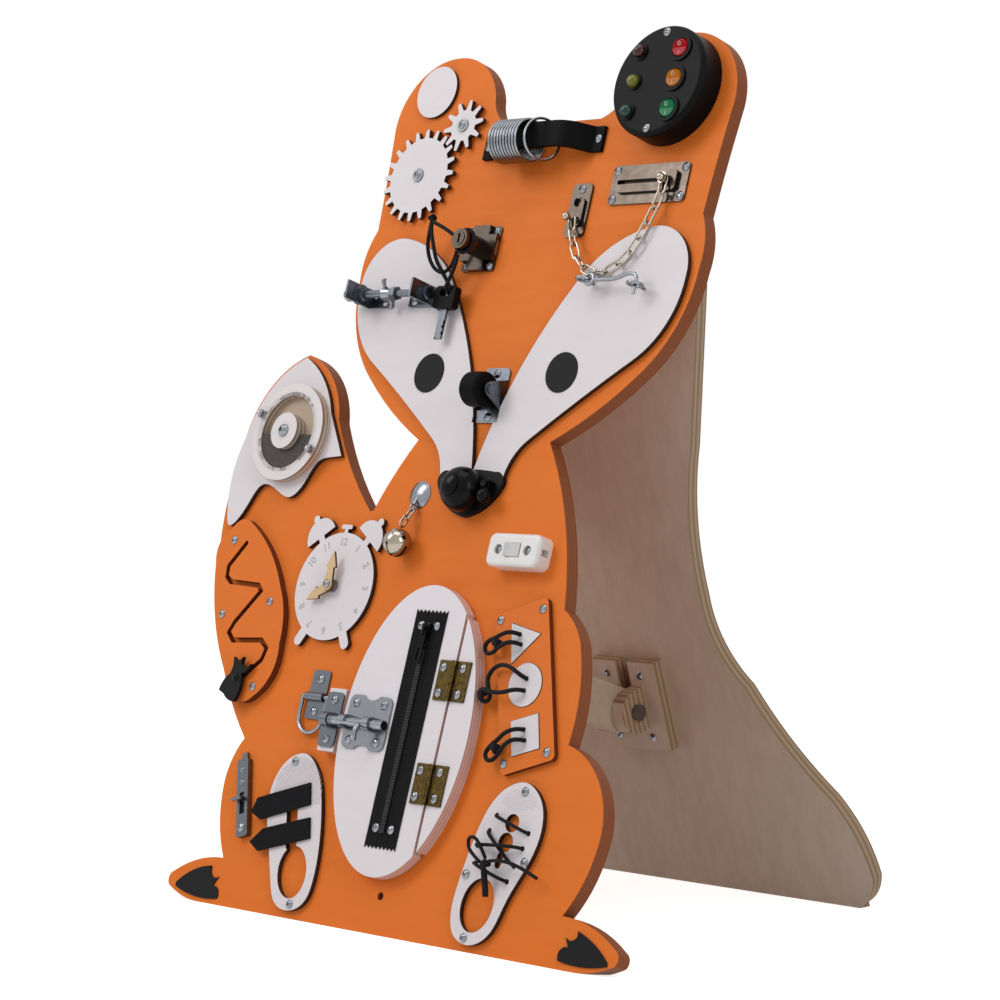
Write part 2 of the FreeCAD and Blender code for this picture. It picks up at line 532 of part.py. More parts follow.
def nose_outline(grow=0.0):
    return outline((-34 - grow, 339), ((-33 - grow, 346), (-25, 349 + grow)),
                   ((0, 350.5 + grow), (25, 349 + grow)), ((33 + grow, 346), (34 + grow, 339)),
                   ((17 + grow, 320 - grow), (0, 314 - grow)), ((-17 - grow, 320 - grow), (-34 - grow, 339)))


def nose_room():
    return plate(nose_outline(0.1), -1, 9)


def caster_room():
    half_wide, half_tall = CASTER_BASE_WIDE / 2 + CLEAR, CASTER_BASE_TALL / 2 + CLEAR
    left, right = CASTER_U - half_wide, CASTER_U + half_wide
    return block(left, right, CASTER_V - half_tall, CASTER_V + half_tall, -1, 9)


def black_overlays():
    """Black painted pieces: eyes, nose and the paw tips."""
    parts = [disc(side * EYE_U, EYE_V, EYE_R, 0, OVERLAY + EYE_RISE) for side in (-1, 1)]
    parts.append(plate(nose_outline(), 0, OVERLAY))
    left = outline((-227, 12), ((-213, 22), (-190, 29)), (-189.4, 25), ((-186, 21), (-179, 21.6)),
                   (-184, 14), ((-176, 10), (-176, 5)), ((-200, 3.6), (-227, 9)))
    right = outline((229, 11), ((215, 21), (198, 28)), (198.4, 24.4), ((194, 21), (188, 22.4)),
                    (192, 16), ((184, 11), (185, 6)), ((208, 4.6), (230, 8)))
    parts += [plate(left, 0, 1.0), plate(right, 0, 1.0)]
    return parts


def gear(u, v, teeth, tip_over, first_angle):
    pitch_r = GEAR_MODULE * teeth / 2
    tip = pitch_r + tip_over
    root = tip - TOOTH_DEPTH - (SMALL_TIP_OVER if teeth == SMALL_TEETH else BIG_TIP_OVER)
    low, high = WASHER, WASHER + GEAR
    tooth = plate(polygon(((root - 1.5, -TOOTH_ROOT / 2), (tip + 1, -TOOTH_TIP / 2),
                           (tip + 1, TOOTH_TIP / 2),
                           (root - 1.5, TOOTH_ROOT / 2))), low, high)
    tooth = tooth.common(disc(0, 0, tip, low, high))
    parts = [disc(0, 0, root, low, high)]
    for count in range(teeth):
        parts.append(turned(tooth, 0, 0, first_angle + count * 360 / teeth))
    wheel = joined(parts).cut(disc(0, 0, SHANK_R + RUN, -1, 9))
    wheel.translate(flat(u, v))
    return wheel


def gears():
    angle = math.radians(GEAR_LINE)
    apart = GEAR_MODULE * (BIG_TEETH + SMALL_TEETH) / 2
    small_u, small_v = GEAR_U + apart * math.cos(angle), GEAR_V + apart * math.sin(angle)
    big = gear(GEAR_U, GEAR_V, BIG_TEETH, BIG_TIP_OVER, GEAR_LINE + 180 / BIG_TEETH)
    small = gear(small_u, small_v, SMALL_TEETH, SMALL_TIP_OVER, GEAR_LINE + 180)
    washers = []
    for u, v in ((GEAR_U, GEAR_V), (small_u, small_v)):
        for low in (0, WASHER + GEAR + CLEAR):
            washer = disc(u, v, WASHER_R, low, low + WASHER - (0.05 if low == 0 else 0))
            washers.append(washer.cut(disc(u, v, SHANK_R, -1, 20)))
        board_screws.append((u, v, 2 * WASHER + GEAR + CLEAR))
    return big, small, washers


def handle_strap():
    left, right, top, thick = STRAP_LEFT, STRAP_RIGHT, STRAP_TOP, STRAP_THICK
    pad = STRAP_PAD
    wire = outline((left, 0), (left, pad), (left + 8.5, pad),
                   [(left + 13, 8), (left + 20, 16), (left + 30, top - 0.6), (left + 38, top)],
                   (right - 38, top),
                   [(right - 30, top - 0.6), (right - 20, 16), (right - 13, 8), (right - 8.5, pad)],
                   (right, pad), (right, 0), (right - 12.5, 0),
                   [(right - 17, 5.5), (right - 23.5, 12.6), (right - 31, top - thick - 0.4),
                    (right - 38, top - thick)],
                   (left + 38, top - thick),
                   [(left + 31, top - thick - 0.4), (left + 23.5, 12.6), (left + 17, 5.5),
                    (left + 12.5, 0)])
    return [screwed(along_v(wire, STRAP_LOW, STRAP_HIGH), STRAP_SCREWS, pad)]


def handle_rings():
    middle = RING_R - RING_WIRE
    strap_middle = STRAP_TOP - STRAP_THICK / 2
    centre_v = STRAP_HIGH - (RING_R - 2 * RING_WIRE) + 0.9
    rings = [ring(V(RING_FIRST_U + RING_PITCH * count, centre_v, strap_middle), V(1, 0, 0),
                  middle, RING_WIRE)
             for count in range(RING_COUNT)]
    tilt = math.radians(LOOSE_RING_TILT)
    rings.append(ring(V(LOOSE_RING_U, centre_v, strap_middle), V(math.cos(tilt), 0, math.sin(tilt)),
                      middle, RING_WIRE))
    return rings


def light_housing():
    """Round black housing with three lamps and openings for three rocker switches."""
    shell = disc(LIGHT_U, LIGHT_V, LIGHT_R, 0, LIGHT_HEIGHT)
    rim = [edge for edge in shell.Edges if edge.BoundBox.ZMin > LIGHT_HEIGHT - 0.1]
    shell = shell.makeFillet(4.0, rim)
    inside = LIGHT_HEIGHT - LIGHT_WALL
    shell = shell.cut(disc(LIGHT_U, LIGHT_V, LIGHT_R - LIGHT_WALL, -1, inside))
    posts = []
    for side in (-1, 1):
        posts.append(disc(LIGHT_U, LIGHT_V + side * LIGHT_SCREW_V, 3.6, 0, inside + 0.5))
    parts = [shell] + posts
    for row in LIGHT_ROWS:
        parts.append(disc(LIGHT_U + LIGHT_LED_U, LIGHT_V + row, LED_BEZEL_R, inside, LIGHT_HEIGHT + 1.2))
        parts.append(disc(LIGHT_U + ROCKER_U, LIGHT_V + row, ROCKER_BEZEL_R, inside - 6, LIGHT_HEIGHT + 1.5))
    housing = joined(parts)
    bores = []
    for row in LIGHT_ROWS:
        bores.append(disc(LIGHT_U + LIGHT_LED_U, LIGHT_V + row, LED_R, inside - 1, 60))
        bores.append(disc(LIGHT_U + ROCKER_U, LIGHT_V + row, ROCKER_R + CLEAR, inside - 8, 60))
    housing = housing.cut(Part.makeCompound(bores))
    housing = screwed(housing, [(LIGHT_U, LIGHT_V + side * LIGHT_SCREW_V) for side in (-1, 1)], LIGHT_HEIGHT)
    lamps = []
    for row in LIGHT_ROWS:
        u, v = LIGHT_U + LIGHT_LED_U, LIGHT_V + row
        barrel = disc(u, v, LED_R - 0.05, inside - 3, LIGHT_HEIGHT + 1.5)
        lamps.append(joined([barrel, ball(u, v, LIGHT_HEIGHT + 1.5, LED_R - 0.05)]))
    return [housing] + lamps


def battery_pack():
    """Cell holder that feeds the three lamps, hidden in the housing."""
    holder = rounded_block(LIGHT_U - 29, LIGHT_U + 29, LIGHT_V - 22, LIGHT_V + 22, 0.2, 3.0, 3)
    cells = [disc(LIGHT_U - 18 + 18 * place, LIGHT_V, 8.0, 3.0, 6.2) for place in range(3)]
    return [joined([holder] + cells)]


def round_rocker(row):
    """Round rocker: a ball skirt in its bezel with a shallow valley across the top, switched off."""
    u, v, pivot = LIGHT_U + ROCKER_U, LIGHT_V + row, LIGHT_HEIGHT - 1.0
    valley = math.tan(math.radians(ROCKER_TILT))
    reach = ROCKER_R + 3
    cut = along_u(polygon(((v, pivot + 3.2), (v + reach, pivot + 3.2 + reach * valley),
                           (v + reach, pivot + 30), (v - reach, pivot + 30),
                           (v - reach, pivot + 3.2 + reach * valley))), u - 20, u + 20)
    shape = ball(u, v, pivot, ROCKER_R).cut(cut).cut(block(u - 20, u + 20, v - 20, v + 20, -5, pivot - 4.5))
    shape.rotate(V(u, v, pivot), V(1, 0, 0), ROCKER_TILT)
    return [shape]


def plate_corner_screws(corners, inset):
    left, right, near, far = corners
    return [(u, v) for u in (left + inset, right - inset) for v in (near + inset, far - inset)]


def nickel_plates():
    """Door-chain plate, its keeper plate and the case of the cam lock."""
    left, right, near, far = CHAIN_PLATE
    base = rounded_block(left, right, near, far, 0, CHAIN_PLATE_THICK, 3.5)
    rail = rounded_block(left + 7.5, right - 9, CHAIN_SLOT_V - 8, CHAIN_SLOT_V + 8, 0, CHAIN_RAIL, 3.5)
    track = slot(((CHAIN_SLOT_LEFT + 2, CHAIN_SLOT_V), (CHAIN_SLOT_RIGHT - 2, CHAIN_SLOT_V)), CHAIN_SLOT,
                 0.6, 9)
    chain_plate = joined([base, rail]).cut(track)
    chain_plate = screwed(chain_plate, plate_corner_screws(CHAIN_PLATE, 4.0), CHAIN_PLATE_THICK)
    left, right, near, far = KEEPER
    keeper = rounded_block(left, right, near, far, 0, 2.0, 4.0)
    middle = (left + right) / 2
    keeper = joined([keeper, rounded_block(middle - 6.5, middle + 6.5, near + 8, far - 12, 0, 4.0, 4.0)])
    keeper = keeper.cut(disc(middle, near + 27, 4.0, 1.0, 9)).cut(disc(middle, near + 12.5, 1.9, 0.5, 9))
    keeper = screwed(keeper, ((middle, far - 4.6),), 2.0)
    half_u, half_v = LOCK_WIDE / 2, LOCK_TALL / 2
    case = rounded_block(LOCK_U - half_u, LOCK_U + half_u, LOCK_V - half_v, LOCK_V + half_v,
                         0, LOCK_DEEP, 2.5)
    notches = []
    corners = []
    for side_u in (-1, 1):
        for side_v in (-1, 1):
            u, v = LOCK_U + side_u * half_u, LOCK_V + side_v * half_v
            notches.append(block(min(u, u - side_u * LOCK_NOTCH_U), max(u, u - side_u * LOCK_NOTCH_U),
                                 min(v, v - side_v * LOCK_NOTCH_V), max(v, v - side_v * LOCK_NOTCH_V),
                                 LOCK_FLANGE, 9))
            corners.append((u - side_u * 4.6, v - side_v * 4.2))
    case = case.cut(Part.makeCompound(notches))
    case = case.fuse(disc(LOCK_U, LOCK_V, BARREL_R, 0, BARREL_TOP))
    case = case.cut(disc(LOCK_U, LOCK_V, PLUG_R + RUN, 0.8, 60))
    tall = LOCK_BOLT_TALL / 2 + CLEAR
    case = case.cut(block(LOCK_U, LOCK_U + 30, LOCK_V - tall, LOCK_V + tall, 1.2, 1.8 + LOCK_BOLT_DEEP))
    return [chain_plate, keeper, screwed(case, corners, LOCK_FLANGE)]


def lock_core():
    plug = disc(LOCK_U, LOCK_V, PLUG_R, 1.1, BARREL_TOP + 0.6)
    keyway = block(LOCK_U - 1.1, LOCK_U + 1.1, LOCK_V - 3.8, LOCK_V + 3.8, BARREL_TOP - 14, 60)
    return [plug.cut(keyway)]


def lock_bolt():
    start, end = LOCK_U + PLUG_R + 0.8, LOCK_U + LOCK_WIDE / 2 + 0.4
    return [block(start, end, LOCK_V - LOCK_BOLT_TALL / 2, LOCK_V + LOCK_BOLT_TALL / 2, 1.5,
                  1.5 + LOCK_BOLT_DEEP)]


def chain_link(start, end, upright, slack, wide=CHAIN_LINK_WIDE):
    """Oval link between two places, flat to the board or standing on edge."""
    long = start.distanceToPoint(end) + 2 * CHAIN_WIRE + slack
    across = wide / 2 - CHAIN_WIRE
    run = long / 2 - across
    path = Part.Wire([Part.makeLine(V(-run, -across, 0), V(run, -across, 0)),
                      Part.Arc(V(run, -across, 0), V(run + across, 0, 0), V(run, across, 0)).toShape(),
                      Part.makeLine(V(run, across, 0), V(-run, across, 0)),
                      Part.Arc(V(-run, across, 0), V(-run - across, 0, 0), V(-run, -across, 0)).toShape()])
    section = Part.Wire([Part.Circle(V(-run, -across, 0), V(1, 0, 0), CHAIN_WIRE).toShape()])
    link = path.makePipeShell([section], True, False)
    if upright:
        link.rotate(V(0, 0, 0), V(1, 0, 0), 90)
    direction = end - start
    rise = math.degrees(math.atan2(direction.z, math.hypot(direction.x, direction.y)))
    link.rotate(V(0, 0, 0), V(0, 1, 0), -rise)
    link.rotate(V(0, 0, 0), V(0, 0, 1), math.degrees(math.atan2(direction.y, direction.x)))
    link.translate((start + end) / 2)
    return link


def door_chain():
    """Chain from the sliding knob to the ball pin at the keeper."""
    curve = Part.BSplineCurve()
    curve.interpolate([V(*place) for place in CHAIN_PATH])
    stops = curve.toShape().discretize(Number=CHAIN_LINKS + 1)
    parts = [chain_link(a, b, place % 2 == 1, 0.4) for place, (a, b) in enumerate(zip(stops, stops[1:]))]
    first = stops[0]
    slot_v = CHAIN_SLOT_V
    stem = [disc(first.x, slot_v, CHAIN_SLOT / 2 - CLEAR, 1.0, CHAIN_RAIL + 1),
            disc(first.x, slot_v, CHAIN_SLOT / 2 - CLEAR, CHAIN_RAIL, CHAIN_RAIL + 3),
            disc(first.x, slot_v, 4.2, CHAIN_RAIL + 2.9, CHAIN_RAIL + 4.4),
            ball(first.x, slot_v, CHAIN_RAIL + 5.8, 3.4)]
    parts.append(joined(stem))
    pin_v = KEEPER[2] + 12.5
    pin_u = (KEEPER[0] + KEEPER[1]) / 2
    parts.append(joined([disc(pin_u, pin_v, 1.6, 0.8, 12), ball(pin_u, pin_v, 13.0, 3.2)]))
    return parts


def screw_eye(u, v, centre_h):
    """Eye whose ring stands square to the board, on a threaded shank."""
    shank = disc(u, v, EYE_WIRE, -GRIP, centre_h - EYE_RING_R)
    return joined([ring(V(u, v, centre_h), V(0, 1, 0), EYE_RING_R, EYE_WIRE), shank])


def screw_eyes():
    half_section = outline((0, 0), (JINGLE_PLATE_R, 0), (JINGLE_PLATE_R, 0.6),
                           crown(JINGLE_PLATE_R, 0.6, 3.2))
    jingle_plate = revolved(half_section, JINGLE_U, JINGLE_PLATE_V)
    stem = rod(V(JINGLE_U, JINGLE_RING_V + 2.6, JINGLE_RING_H), V(JINGLE_U, JINGLE_PLATE_V - 3, 2.6), 1.2)
    holder = ring(V(JINGLE_U, JINGLE_RING_V, JINGLE_RING_H), V(1, 0, 0), 2.6, 0.9)
    return [screw_eye(HOOK_U - EYE_RING_R, HOOK_V, HOOK_H), screw_eye(CATCH_U, CATCH_V, HOOK_H),
            joined([jingle_plate, stem, holder])]


def hook():
    """Wire hook: a loop round the screw eye, a long shank and a tip bent down into the catch eye."""
    loop_r = 3.9
    loop = ring(V(HOOK_U, HOOK_V, HOOK_H), V(0, 0, 1), loop_r, HOOK_WIRE)
    arm = tube("hook", ((HOOK_U + loop_r, HOOK_V - 0.6, HOOK_H), (CATCH_U - 20, HOOK_V - 0.6, HOOK_H),
                        (CATCH_U - 9, HOOK_V + 3.6, HOOK_H), (CATCH_U + 0.6, HOOK_V + 2.6, HOOK_H),
                        (CATCH_U, CATCH_V - 7.5, HOOK_H)), 2 * HOOK_WIRE)
    return [joined([loop, arm])]


def angle_bracket(upright_u, side):
    """Small angle bracket with its base on the cheek and the bolt through its upright."""
    end = upright_u + side * BRACKET_LEG
    low = OVERLAY
    near, far = BOLT_V - BRACKET_WIDE / 2, BOLT_V + BRACKET_WIDE / 2
    base = rounded_block(min(upright_u, end), max(upright_u, end), near, far, low, low + BRACKET_THICK, 1.5)
    inner = upright_u + side * BRACKET_THICK
    upright = block(min(upright_u, inner), max(upright_u, inner), near, far, low, low + BRACKET_LEG)
    bracket = joined([base, upright])
    return bracket.cut(rod(V(-300, BOLT_V, BOLT_H), V(0, BOLT_V, BOLT_H), BOLT_R + 0.05))


CHEEK_SCREWS = ((LEFT_BRACKET_U + 8, BOLT_V + 3), (LEFT_BRACKET_U + 21, BOLT_V - 3),
                (RIGHT_BRACKET_U - 8, BOLT_V + 3), (RIGHT_BRACKET_U - 21, BOLT_V - 3))


def hexagon(radius, length):
    """Six-sided nut blank along u."""
    points = [(radius * math.cos(math.radians(60 * turn)), radius * math.sin(math.radians(60 * turn)))
              for turn in range(6)]
    return along_u(polygon(points), 0, length)


def nut_at(u, length=NUT):
    nut = hexagon(NUT_R, length)
    nut.translate(V(u, BOLT_V, BOLT_H))
    return nut.cut(rod(V(-300, BOLT_V, BOLT_H), V(0, BOLT_V, BOLT_H), BOLT_R))


def washer_at(u, radius=8.0):
    washer = rod(V(u, BOLT_V, BOLT_H), V(u + 1.2, BOLT_V, BOLT_H), radius)
    return washer.cut(rod(V(-300, BOLT_V, BOLT_H), V(0, BOLT_V, BOLT_H), BOLT_R))


def bolt_row():
    left_in = LEFT_BRACKET_U + BRACKET_THICK
    right_in = RIGHT_BRACKET_U - BRACKET_THICK
    stud = rod(V(BOLT_TIP_U + 6, BOLT_V, BOLT_H), V(BOLT_HEAD_U, BOLT_V, BOLT_H), BOLT_R)
    acorn = hexagon(NUT_R, 4.5)
    acorn.translate(V(BOLT_TIP_U + 5, BOLT_V, BOLT_H))
    head = hexagon(NUT_R, 4.0)
    head.translate(V(BOLT_HEAD_U, BOLT_V, BOLT_H))
    stud = joined([stud, acorn, ball(BOLT_TIP_U + 5, BOLT_V, BOLT_H, 4.8), head])
    parts = [stud, nut_at(LEFT_BRACKET_U - NUT - 1.2), washer_at(LEFT_BRACKET_U - 1.2), washer_at(left_in),
             nut_at(left_in + 1.2), nut_at(WING_NUT_U + WING_NUT + 0.4, 6.0),
             washer_at(right_in - 1.2, 6.5), washer_at(RIGHT_BRACKET_U, 6.5)]
    brackets = [angle_bracket(LEFT_BRACKET_U, 1), angle_bracket(RIGHT_BRACKET_U, -1)]
    drill = holes(CHEEK_SCREWS, SHANK_R + CLEAR / 3)
    return parts + [bracket.cut(drill) for bracket in brackets]


def wing_nut():
    """Two-winged nut that spins on the bolt."""
    centre = V(WING_NUT_U, BOLT_V, BOLT_H)
    hub = Part.makeCone(5.4, 4.2, WING_NUT, centre, V(1, 0, 0))
    wing = along_u(outline((3.5, -1.2), ((8, 1.5), (WING_SPAN, 0)), ((10.6, 4.2), (7.6, 3.9)),
                           (3.5, 1.6)), 1.2, 3.4)
    other = wing.copy()
    other.rotate(V(0, 0, 0), V(1, 0, 0), 180)
    for part in (wing, other):
        part.rotate(V(0, 0, 0), V(1, 0, 0), 28)
        part.translate(V(WING_NUT_U + 1, BOLT_V, BOLT_H))
    nut = joined([hub, wing, other])
    return [nut.cut(rod(V(-300, BOLT_V, BOLT_H), V(0, BOLT_V, BOLT_H), BOLT_R + RUN))]


def key():
    head = rounded_block(KEY_U - KEY_WIDE / 2, KEY_U + KEY_WIDE / 2, KEY_V - KEY_TALL / 2,
                         KEY_V + KEY_TALL / 2, KEY_H - KEY_THICK / 2, KEY_H + KEY_THICK / 2, 3.0)
    eye = rounded_block(KEY_U - 5.5, KEY_U + 5.5, KEY_V + 0.8, KEY_V + 6.7, -9, 30, 2.2)
    end = KEY_V - KEY_TALL / 2
    blade = block(KEY_U - KEY_BLADE_WIDE / 2, KEY_U + KEY_BLADE_WIDE / 2, end - KEY_BLADE, end + 2,
                  KEY_H - KEY_BLADE_THICK / 2, KEY_H + KEY_BLADE_THICK / 2)
    return [joined([head.cut(eye), blade])]


KEY_CORD = 3.0
KEY_HANG = ((LOCK_U - 4.5, LOCK_V - 10.5, 20), (-52.5, 508, 18.8), (-56, 499.5, 17.6), (-59.4, 490.6, 17.6),
            (-60.8, 487.7, 12.6), (-61.8, 487.6, 7.2), (-64.4, 492, 5.9), (-69, 499, 8.4),
            (-73, 506.5, 13.6),
            (-78, 514, 17), (-84, 528, 18.5), (-88.5, 540, 20), (-88, 547, 20.6))
KEY_LOOP = ((-92, 545, 17), (-94.5, 534, 15), (-93, 521, 13), (-86, 509.5, 10.5), (-75, 504.5, 10),
            (-65.5, 508, 11.5), (-60, 517, 13.5), (LOCK_U - 11.5, LOCK_V + 0.5, 15))


def key_cord():
    """Cord tied round the lock barrel, through the key's eye, with a hanging loop."""
    collar = ring(V(LOCK_U, LOCK_V, 20.5), V(0, 0, 1), BARREL_R + KEY_CORD / 2 + 0.1, KEY_CORD / 2)
    link = tube("key_link", ((-86.5, 543.5, 20.6), (-77, 540, 21), (-67, 535.5, 21), (-57.8, 530.6, 20.6)),
                KEY_CORD)
    knot = ball(-90, 547, 19, 4.2)
    tails = [rod(V(-90, 547, 19), V(-94, 556, 17), KEY_CORD / 2), rod(V(-90, 547, 19), V(-87, 557, 18),
                                                                     KEY_CORD / 2)]
    hang = tube("key_hang", KEY_HANG, KEY_CORD)
    loop = tube("key_loop", KEY_LOOP, KEY_CORD)
    return [joined([collar]), joined([link, hang, loop, knot] + tails)]


def caster_bracket():
    half_wide, half_tall = CASTER_BASE_WIDE / 2, CASTER_BASE_TALL / 2
    u, v = CASTER_U, CASTER_V
    base = rounded_block(u - half_wide, u + half_wide, v - half_tall, v + half_tall, 0, CASTER_PLATE, 4.0)
    base = screwed(base, ((u, v + half_tall - 4.5), (u, v - half_tall + 4.5)), CASTER_PLATE)
    half_foot = half_tall - 9
    cheek_plate = outline((v - half_foot, 0), (v + half_foot, 0), (v + 5.5, CASTER_AXLE_H + 2),
                          ((v, CASTER_AXLE_H + 5.5), (v - 5.5, CASTER_AXLE_H + 2)))
    parts = [base]
    for side in (-1, 1):
        edge = u + side * half_wide
        inner = edge - side * CASTER_PLATE
        parts.append(along_u(cheek_plate, min(edge, inner), max(edge, inner)))
    fork = joined(parts)
    axle = rod(V(u - half_wide - 1.2, v, CASTER_AXLE_H), V(u + half_wide + 1.2, v, CASTER_AXLE_H),
               CASTER_AXLE_R)
    heads = [rod(V(u + side * (half_wide + 0.05), v, CASTER_AXLE_H),
                 V(u + side * (half_wide + 1.6), v, CASTER_AXLE_H), 3.6) for side in (-1, 1)]
    return [joined([fork, axle] + heads)]


def caster_wheel():
    half = CASTER_WIDE / 2
    start, end = V(CASTER_U - half, CASTER_V, CASTER_AXLE_H), V(CASTER_U + half, CASTER_V, CASTER_AXLE_H)
    tyre = rod(start, end, CASTER_R)
    edges = [edge for edge in tyre.Edges if edge.Length > 2 * CASTER_WIDE]
    tyre = tyre.makeFillet(3.5, edges)
    return [tyre.cut(rod(start - V(1, 0, 0), end + V(1, 0, 0), CASTER_AXLE_R + RUN))]


def ring_strap():
    """Screwed strap with a tunnel for the bar of the D-ring."""
    half = PULL_WIDE / 2
    left, right = PULL_U - half, PULL_U + half
    base = rounded_block(left, right, PULL_V - 17, PULL_V + 21, 0, 1.5, 3.0)
    hump = rod(V(left, PULL_V, 3.2), V(right, PULL_V, 3.2), PULL_BAR_R + CLEAR + 1.4)
    foot = block(left, right, PULL_V - 3.3, PULL_V + 3.3, 0, 3.2)
    strap = joined([base, hump, foot])
    strap = strap.cut(rod(V(left - 9, PULL_V, 3.2), V(right + 9, PULL_V, 3.2), PULL_BAR_R + CLEAR))
    strap = strap.cut(block(left - 9, right + 9, PULL_V - 30, PULL_V + 30, -9, 0))
    return [screwed(strap, ((PULL_U, PULL_V + 14), (PULL_U, PULL_V - 11)), 1.5)]


def d_ring():
    """Ring with one straight side, the bar in the strap's tunnel."""
    half, h = D_RING_HALF, 3.2
    low_v = PULL_V - D_RING_DROP + half
    corners = [V(PULL_U + side * half, PULL_V, h) for side in (-1, 1)]
    ends = [V(PULL_U + side * half, low_v, h) for side in (-1, 1)]
    section = Part.Face(Part.Wire([Part.Circle(ends[1], V(0, 1, 0), PULL_BAR_R).toShape()]))
    bow = section.revolve(V(PULL_U, low_v, h), V(0, 0, 1), -180)
    parts = [rod(corners[0], corners[1], PULL_BAR_R), bow]
    parts += [rod(corner, end, PULL_BAR_R) for corner, end in zip(corners, ends)]
    parts += [Part.makeSphere(PULL_BAR_R + CLEAR / 2, corner) for corner in corners]
    return [joined(parts)]


def flush_frame(shape):
    """Flush bolt pieces are drawn upright at the origin, then turned and set on the board."""
    shape = turned(shape, 0, 0, FLUSH_TURN)
    shape.translate(flat(FLUSH_U, FLUSH_V))
    return shape


def flush_place(u, v):
    angle = math.radians(FLUSH_TURN)
    return (FLUSH_U + u * math.cos(angle) - v * math.sin(angle),
            FLUSH_V + u * math.sin(angle) + v * math.cos(angle))


def flush_plate():
    half_long, half_wide, bar = FLUSH_LONG / 2, FLUSH_WIDE / 2, FLUSH_BAR_WIDE / 2 + CLEAR
    body = rounded_block(-half_wide, half_wide, -half_long, half_long, 0, FLUSH_DEEP, 2.0)
    channel = block(-bar, bar, -13, half_long + 1, 0.8, 3.0 + CLEAR)
    window = block(-bar + 0.6, bar - 0.6, -13, 4, 0.8, 9)
    body = flush_frame(body.cut(channel).cut(window))
    body = screwed(body, (flush_place(0, -24),), FLUSH_DEEP)
    rivets = [flush_frame(Part.makeSphere(3.0, V(0, v, FLUSH_DEEP - 1.4)).cut(
        block(-5, 5, v - 5, v + 5, -5, FLUSH_DEEP + 0.02))) for v in (12, 22)]
    return [body] + rivets


def flush_slide():
    bar = FLUSH_BAR_WIDE / 2
    blade = block(-bar, bar, -3, FLUSH_LONG / 2 + FLUSH_BAR_OUT, 1.1, 3.0)
    stem = block(-1.6, 1.6, -2.6, 0.6, 3.0, 8)
    knob = rod(V(-7.5, -1, 8.5), V(2.5, -1, 8.5), 1.5)
    return [flush_frame(joined([blade, stem, knob]))]


def barrel_keeper():
    """Keeper that takes the barrel bolt's rod, on a block as high as the door."""
    left, right, near, far = KEEPER_BLOCK
    seat = DOOR_TOP + BARREL_PLATE_THICK
    axis_h = ROD_H
    foot = rounded_block(left, right, near + 3, far - 3, DOOR_TOP, seat, 4.0)
    outer = BARREL_ROD_R + 2.0
    arch = rod(V(left + 7, BARREL_V, axis_h), V(right - 3, BARREL_V, axis_h), outer)
    base = block(left + 7, right - 3, BARREL_V - outer, BARREL_V + outer, DOOR_TOP, axis_h)
    keeper = joined([foot, arch, base])
    keeper = keeper.cut(rod(V(left - 9, BARREL_V, axis_h), V(right + 9, BARREL_V, axis_h),
                            BARREL_ROD_R + CLEAR))
    keeper = keeper.cut(block(left - 9, right + 9, near, far, 0, DOOR_TOP))
    u = (left + right) / 2
    return [screwed(keeper, ((u, near + 9), (u, far - 9)), seat)]


def keeper_block():
    left, right, near, far = KEEPER_BLOCK
    u = (left + right) / 2
    shape = rounded_block(left, right, near, far, 0, DOOR_TOP, 1.0)
    return shape.cut(holes(((u, near + 9), (u, far - 9)), SHANK_R + CLEAR / 3))


def steel_brackets():
    fixed_leaves = [stand_hinge(middle, False, HINGE_V, -2 * PLY, -1) for middle in (-HINGE_U, HINGE_U)]
    centre = -2 * PLY - KNUCKLE_R
    pins = [rod(V(middle - HINGE_LENGTH / 2, HINGE_V, centre), V(middle + HINGE_LENGTH / 2, HINGE_V, centre),
                HINGE_PIN_R) for middle in (-HINGE_U, HINGE_U)]
    leaves = [joined([leaf, pin]) for leaf, pin in zip(fixed_leaves, pins)]
    return leaves + bolt_row() + caster_bracket() + ring_strap() + flush_plate() + barrel_keeper()


def bell_body():
    """Handlebar bell: a foot on the nose, a domed shell with a stepped cap, and the lever's bracket."""
    top = BELL_LOW + BELL_RISE
    outer = outline((0, top - 0.6), (BELL_CAP_R - 0.4, top - 0.6),
                    ((14.6, top - 5.4), (BELL_R, BELL_LOW + 2)),
                    (BELL_R, BELL_LOW), (BELL_R - BELL_WALL, BELL_LOW), (BELL_R - BELL_WALL, BELL_LOW + 2),
                    ((13.4, top - 6.6), (BELL_CAP_R - 1, top - 1.8)), (0, top - 1.8))
    cap = outline((0, top - 1.8), (BELL_CAP_R, top - 1.8), (BELL_CAP_R, top + BELL_CAP_RISE - 2.5),
                  crown(BELL_CAP_R, top + BELL_CAP_RISE - 2.5, 2.5))
    shell = joined([revolved(outer, BELL_U, BELL_V), revolved(cap, BELL_U, BELL_V),
                    disc(BELL_U, BELL_V, 3.0, OVERLAY, top - 1)])
    foot = joined([disc(BELL_U, BELL_V, BELL_FOOT_R, OVERLAY, OVERLAY + 3),
                   slot(((BELL_U, BELL_V), (LEVER_U, LEVER_V)), 8.0, OVERLAY, OVERLAY + 2.5)])
    post = disc(LEVER_U, LEVER_V, 1.8, OVERLAY, LEVER_H + 3.4)
    cap_nut = disc(LEVER_U, LEVER_V, 2.8, LEVER_H + 3.3, LEVER_H + 5)
    return [joined([shell, foot, post, cap_nut])]


def bell_lever():
    """Thumb lever that turns on its post and springs back."""
    low, high = LEVER_H - 0.8, LEVER_H + 3.0
    hub = disc(LEVER_U, LEVER_V, 3.8, low, high)
    arm = slot(((LEVER_U, LEVER_V), (LEVER_U + 2.4, LEVER_V - 8.5)), 4.6, low, high)
    knob = ball(LEVER_U + 2.8, LEVER_V - 9.6, LEVER_H + 4.4, LEVER_KNOB_R)
    return [joined([hub, arm, knob]).cut(disc(LEVER_U, LEVER_V, 1.8 + RUN, -1, LEVER_H + 3.2))]


